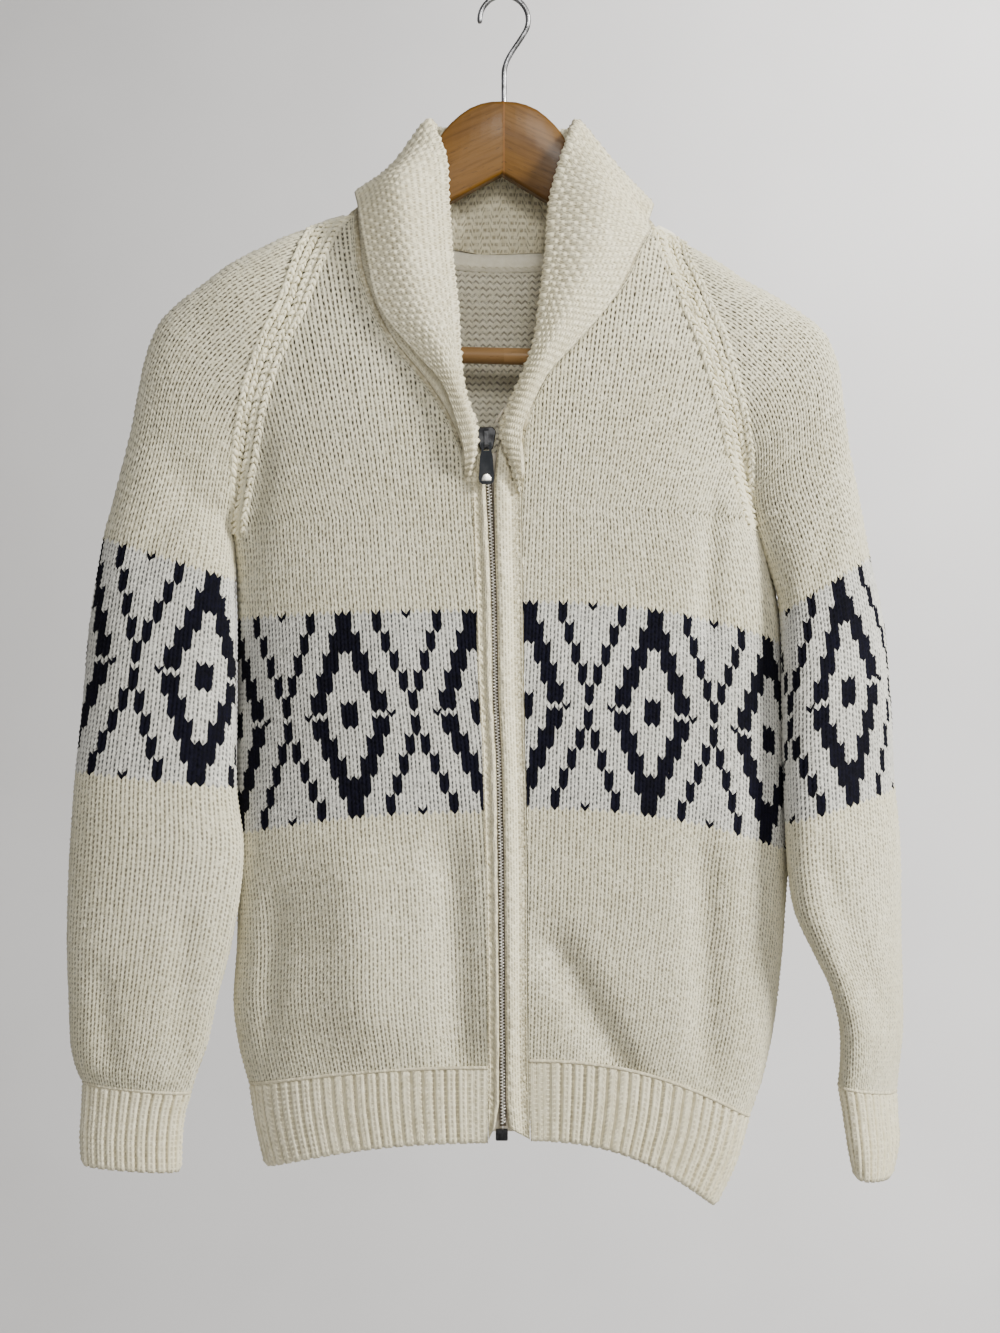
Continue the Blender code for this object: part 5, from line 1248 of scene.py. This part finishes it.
height *= np.clip(rim / 2.0, 0.15, 1)[:, None]
outer = grid + normals * (COLLAR_WALL / 2 + height)[..., None]
inner_rows = np.unique([*range(0, len(grid), INNER_STEP), len(grid) - 1])
inner = (grid - normals * COLLAR_WALL / 2)[inner_rows]
# A tube along the neck seam; with uv 0 it lies wholly in the wool's painted shade for the stitches' gaps, so
# it is drawn darker: painted shade along the seam.
seam_tube = tube(spaced(neck_points(), np.linspace(0.01, 0.99, 220)) + [0, 0.8, 0], 2.3, 8)
wall = wall_part(outer, inner, normals, paired(bump_place, ridge_place * 2))
collar = build("collar_knit", [wall, seam_tube], [GARTER], ["collar"])

# Bands beside the zip: z and x of the edge that faces the other band
BAND_RIGHT_INNER = [
    (-287, -20.5), (-304, -13.6), (-325, -12), (-372, -9.4), (-398, -8.4), (-462, -7.4), (-501, -5.2),
    (-565, -3.9), (-629, -3.3), (-694, -2.9), (-722, -2.9), (-742, -6.6),
]
BAND_LEFT_INNER = [
    (-281, 1.5), (-288, -1.5), (-303, -4.6), (-325, -6.6), (-372, -5.6), (-398, -4.6), (-462, -3.6),
    (-501, -1.4), (-565, -0.1), (-629, 0.5), (-694, 0.9), (-722, 1.2), (-742, 3.6),
]
BAND_COLUMNS = 17
BAND_WALL = 4.0


def at_height(table, z):
    """x and y of a line of points at these heights."""
    table = np.array(table, float)
    return [np.interp(-z, -table[:, 2], table[:, k]) for k in (0, 1)]


def band(node, edge_table, inner_table, top, bottom_edge, bottom_zip, shares, heights, roll_from, seed):
    """Garter strip: bumps down its groove and wider bumps round its roll."""
    inner_edge = np.array(inner_table, float)
    share = np.linspace(shares[0], shares[-1], BAND_COLUMNS)[None, :]
    count = 2 * round((top - bottom_edge) / ROW)
    rows = np.arange(count + 1)[:, None]
    z = top + (bottom_edge + (bottom_zip - bottom_edge) * share - top) * rows / count
    x_edge, y = at_height(edge_table, z)
    x_zip = np.interp(-z, -inner_edge[:, 0], inner_edge[:, 1])
    grid = np.stack([x_edge + (x_zip - x_edge) * share, y, z], axis=-1)
    normals = grid_normals(grid, OUT_FRONT)
    groove = np.cos(rows * math.pi) * np.cos(2 * math.pi * share * BAND_COLUMNS / 6)
    ridge = np.cos(rows * math.pi * 0.52 + share * 3)
    rolled = np.clip((share - roll_from) / 0.12, 0, 1)
    lumps = evened(jitter(grid.shape[:2], 0.9, seed + 3).T, 2).T
    height = np.interp(share, shares, heights) + 0.75 * groove * (1 - rolled) + 0.3 * ridge * rolled
    height += lumps * (0.3 + 0.3 * rolled)
    height[[0, -1]] = height[[0, -1]] * 0.3 - 0.3
    outer = grid + normals * height[..., None]
    inner = (grid - normals * BAND_WALL)[[0, count // 2, -1]]
    bumps = chain(outer[4:-3:4, 2], OUT_FRONT, 4.9, (2.1, 1.25, 1.15), seed)
    build(node + "_knit_bumps", bumps, [GARTER])
    wall = wall_part(outer, inner, normals, paired(share * BAND_COLUMNS / 4, rows / 2))
    piece = build(node + "_knit", [wall], [GARTER], [node])


right_edge, left_edge = (
    [r[3:] for r in front[7:] + hem[1:]] for front, hem in ((FRONT_RIGHT, HEM_RIGHT), (FRONT_LEFT, HEM_LEFT))
)
band("band_right", right_edge, BAND_RIGHT_INNER, -289, -747, -738,
     (0.1, 0.25, 0.48, 0.62, 0.8, 1.0), (0.2, -1.3, -1.0, 0.9, 1.7, -0.8), 0.6, 22)
band("band_left", left_edge, BAND_LEFT_INNER, -283, -746, -738,
     (0.045, 0.15, 0.38, 0.5, 0.62, 0.8, 0.94, 1.0), (0, -1.2, -1.2, 0.9, 2.4, 3.0, 2.0, -0.4), 0.45, 23)

# Zip: teeth that mesh from both sides, on woven tapes
FIRST_TOOTH, TEETH_A_SIDE, TOOTH_PITCH = -303.2, 211, 2.05
TOOTH = [(-0.35, -0.42), (0.3, -0.42), (0.95, -0.5), (1.45, -0.3), (1.6, 0.0), (1.45, 0.3), (0.95, 0.5),
         (0.3, 0.42), (-0.35, 0.42)]
TOOTH_LAYERS = ((-1.0, 0.8), (-0.75, 1.0), (0.5, 1.0), (0.8, 0.85))
teeth = []
for k in range(2 * TEETH_A_SIDE):
    side = -1 if k % 2 else 1
    z = FIRST_TOOTH - k * TOOTH_PITCH / 2
    x, y = at_height(ZIP_LINE, z)
    teeth.append(closed_rings([
        [(x + side * (1.15 - across * size), y + depth, z + up * size) for across, up in TOOTH]
        for depth, size in TOOTH_LAYERS
    ]))
build("zip_teeth", teeth, [BRIGHT], ["zip_chain"])

# A dark strip on the tapes behind the teeth: painted shade between the teeth.
core = []
for z in np.linspace(-303.6, -736.6, 120):
    x, y = at_height(ZIP_LINE, z)
    core.append([(x + across, y + 0.35, z) for across in (-2.1, -1.0, 0.0, 1.0, 2.1)])
core = np.array(core)
edges = skin_part(core, grid_normals(core, OUT_FRONT), np.zeros(core.shape[:2] + (2,)))
build("zip_painted_shade_strip", [edges], [TAPE_PAINTED_SHADE])

TAPE_END_RIGHT = [(-17.2, -44.6, -284.5), (-19.5, -44.4, -280.5), (-22.6, -43.8, -276), (-25.8, -43, -271.5)]
TAPE_END_LEFT = [(-5.2, -44.6, -284.5), (-2.6, -44.6, -280), (0.6, -44.4, -275.5), (4.4, -44, -271)]
for name, path in (("zip_tape_end_right", TAPE_END_RIGHT), ("zip_tape_end_left", TAPE_END_LEFT)):
    build(name, [tube(path, [0.9, 0.95, 0.95, 0.7], 8)], [TAPE])

# Hanger: rounded wooden arms, the bar and the wire hook
ARM_REACH, ARM_CORNER = 209.6, 2.6


def tilted(points):
    """Points turned about the hook, as the hanger hangs."""
    c, s = math.cos(HANGER_TILT), math.sin(HANGER_TILT)
    x, drop = points[..., 0], points[..., 2] - TILT_PIVOT
    return np.stack([x * c + drop * s, points[..., 1], TILT_PIVOT + drop * c - x * s], axis=-1)


reach = np.concatenate([np.linspace(a, b, n) for a, b, n in (
    (-ARM_REACH, -46, 70), (-45, 45, 91), (46, ARM_REACH, 70),
)])
rings = []
for d in reach:
    top, under, half = (lean(t, abs(d)) for t in (ARM_TOP, ARM_UNDER, ARM_HALF))
    corner = min(ARM_CORNER, (top - under) * 0.3)
    ring = []
    for side_y, side_z, begin in ((1, 1, 0), (-1, 1, 90), (-1, -1, 180), (1, -1, 270)):
        cy, cz = side_y * (half - corner), (top - corner if side_z > 0 else under + corner)
        for angle in np.radians(begin + np.linspace(0, 90, 5)):
            ring.append((d, cy + corner * math.cos(angle), cz + corner * math.sin(angle)))
    rings.append(ring)
build("hanger_arms", [closed_rings(tilted(np.array(rings)))], [WOOD], ["hanger_body"])
bar = tilted(np.array([(x, 0, -236.0) for x in np.linspace(-187.5, 187.5, 40)]))
build("hanger_round_bar", [tube(bar, BAR_RADIUS, 32)], [BAR_WOOD], ["hanger_bar"])


def on_crook(degrees):
    a = math.radians(degrees)
    return np.array([CROOK_RADIUS * math.cos(a), 0, HOOK_WIRE - CROOK_RADIUS + CROOK_RADIUS * math.sin(a)])


p0, p1, p2, p3 = np.array([0, 0, -50.0]), np.array([0, 0, -40.0]), np.array([8.0, 0, -32.4]), on_crook(-30)
curve = [
    (1 - t) ** 3 * p0 + 3 * (1 - t) ** 2 * t * p1 + 3 * (1 - t) * t * t * p2 + t**3 * p3
    for t in np.linspace(0, 1, 16)
]
shank = [(0, 0, z) for z in (-92.0, -80.0, -70.0, -60.0)]
path = np.array([*shank, *curve, *(on_crook(d) for d in np.linspace(-30, 188, 60)[1:])])
wire = np.full(len(path), HOOK_WIRE)
wire[-3:] *= (0.98, 0.9, 0.6)
build("hook_wire", [tube(path, wire, 24)], [STEEL], ["hanger_hook"])

# Bare bright spot, rounded above and flat below, near the end of the pull tab
SPOT_X, SPOT_Y, SPOT_LOW, SPOT_MIDDLE, SPOT_HALF, SPOT_HIGH = -11.3, -48.42, -322.3, -320.4, 3.1, 4.6
arch = np.linspace(0, math.pi, 21)
x, z = SPOT_HALF * np.cos(arch), SPOT_LOW - SPOT_MIDDLE + SPOT_HIGH * np.sin(arch)
spot_rings = [
    np.stack([SPOT_X + x * size, np.full(21, SPOT_Y - out), SPOT_MIDDLE + z * size], axis=1)
    for out, size in ((0, 1.0), (0.22, 1.0), (0.36, 0.86))
]
build("pull_spot", [closed_rings(spot_rings)], [BRIGHT], body="pull")

# Frame nodes that stay in view get worked metal and weave
for node, material, slot in (
    ("zip_tape_right", TAPE, "zip_tape"), ("zip_tape_left", TAPE, "zip_tape"),
    ("zip_slider", DARK, "zip_metal"), ("zip_bottom_stop", DARK, "zip_metal"),
    ("zip_pull", GUNMETAL, "pull_metal"),
):
    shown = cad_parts[node]
    shown.data.materials.clear()
    shown.data.materials.append(material)

# Stage: pale floor that curves up into a far wall, soft studio light
def stage_material():
    n = Nodes("pale_stage")
    n.set("Base Color", n.mix(n.ramp(n.noise(2.0, 3.0), 0.3, 0.7), (0.60, 0.59, 0.58), (0.63, 0.62, 0.61)))
    n.set("Roughness", 0.95)
    return n.material


profile = [(-6000, -1900), (2600, -1900)]
profile += [(2600 + 1400 * math.sin(a), -500 - 1400 * math.cos(a)) for a in np.linspace(0.1, math.pi / 2, 14)]
profile += [(4000, 4200)]
cove = np.array([[(x, y, z) for x in (-7000, 7000)] for y, z in profile])
mesh = bpy.data.meshes.new("stage_cove")
mesh.from_pydata((cove * MM).reshape(-1, 3).tolist(), [], grid_faces(len(profile), 2, False).tolist())
mesh.materials.append(stage_material())
for face in mesh.polygons:
    face.use_smooth = True
stage = bpy.data.objects.new("stage_cove", mesh)
bpy.context.scene.collection.objects.link(stage)


def area_light(name, place, target, size, power, tint):
    data = bpy.data.lights.new(name, "AREA")
    data.shape, data.size, data.energy, data.color = "DISK", size, power, tint
    lamp = bpy.data.objects.new(name, data)
    lamp.location = place
    lamp.rotation_euler = (Vector(target) - Vector(place)).to_track_quat("-Z", "Y").to_euler()
    bpy.context.scene.collection.objects.link(lamp)


area_light("key", (2.2, -1.4, 0.8), (0, 0, -0.4), 0.8, 165, (1.0, 0.985, 0.94))
area_light("fill", (0.5, -2.7, 0.4), (0.1, 0, -0.4), 1.4, 20, (1.0, 0.99, 0.97))
area_light("neck_light", (0.15, -1.3, 0.35), (0, 0, -0.22), 0.25, 5.0, (1.0, 0.98, 0.94))
area_light("wall_light", (1.9, 1.7, 1.5), (2.4, 4.0, 0.3), 2.2, 230, (1.0, 0.99, 0.985))
world = bpy.data.worlds.new("soft_room")
bpy.context.scene.world = world
world.use_nodes = True
background = world.node_tree.nodes["Background"].inputs
background["Color"].default_value = (0.88, 0.88, 0.9, 1.0)
background["Strength"].default_value = 0.38

# Camera square to the garment, as in the photograph
camera = bpy.data.objects.new("camera", bpy.data.cameras.new("camera"))
camera.location = (-0.00264, -1.5, -0.4409)
camera.rotation_euler = (math.pi / 2, 0, 0)
camera.data.sensor_width = 36
camera.data.lens = 61.38
camera.data.clip_start, camera.data.clip_end = 0.05, 60
bpy.context.scene.collection.objects.link(camera)
bpy.context.scene.camera = camera
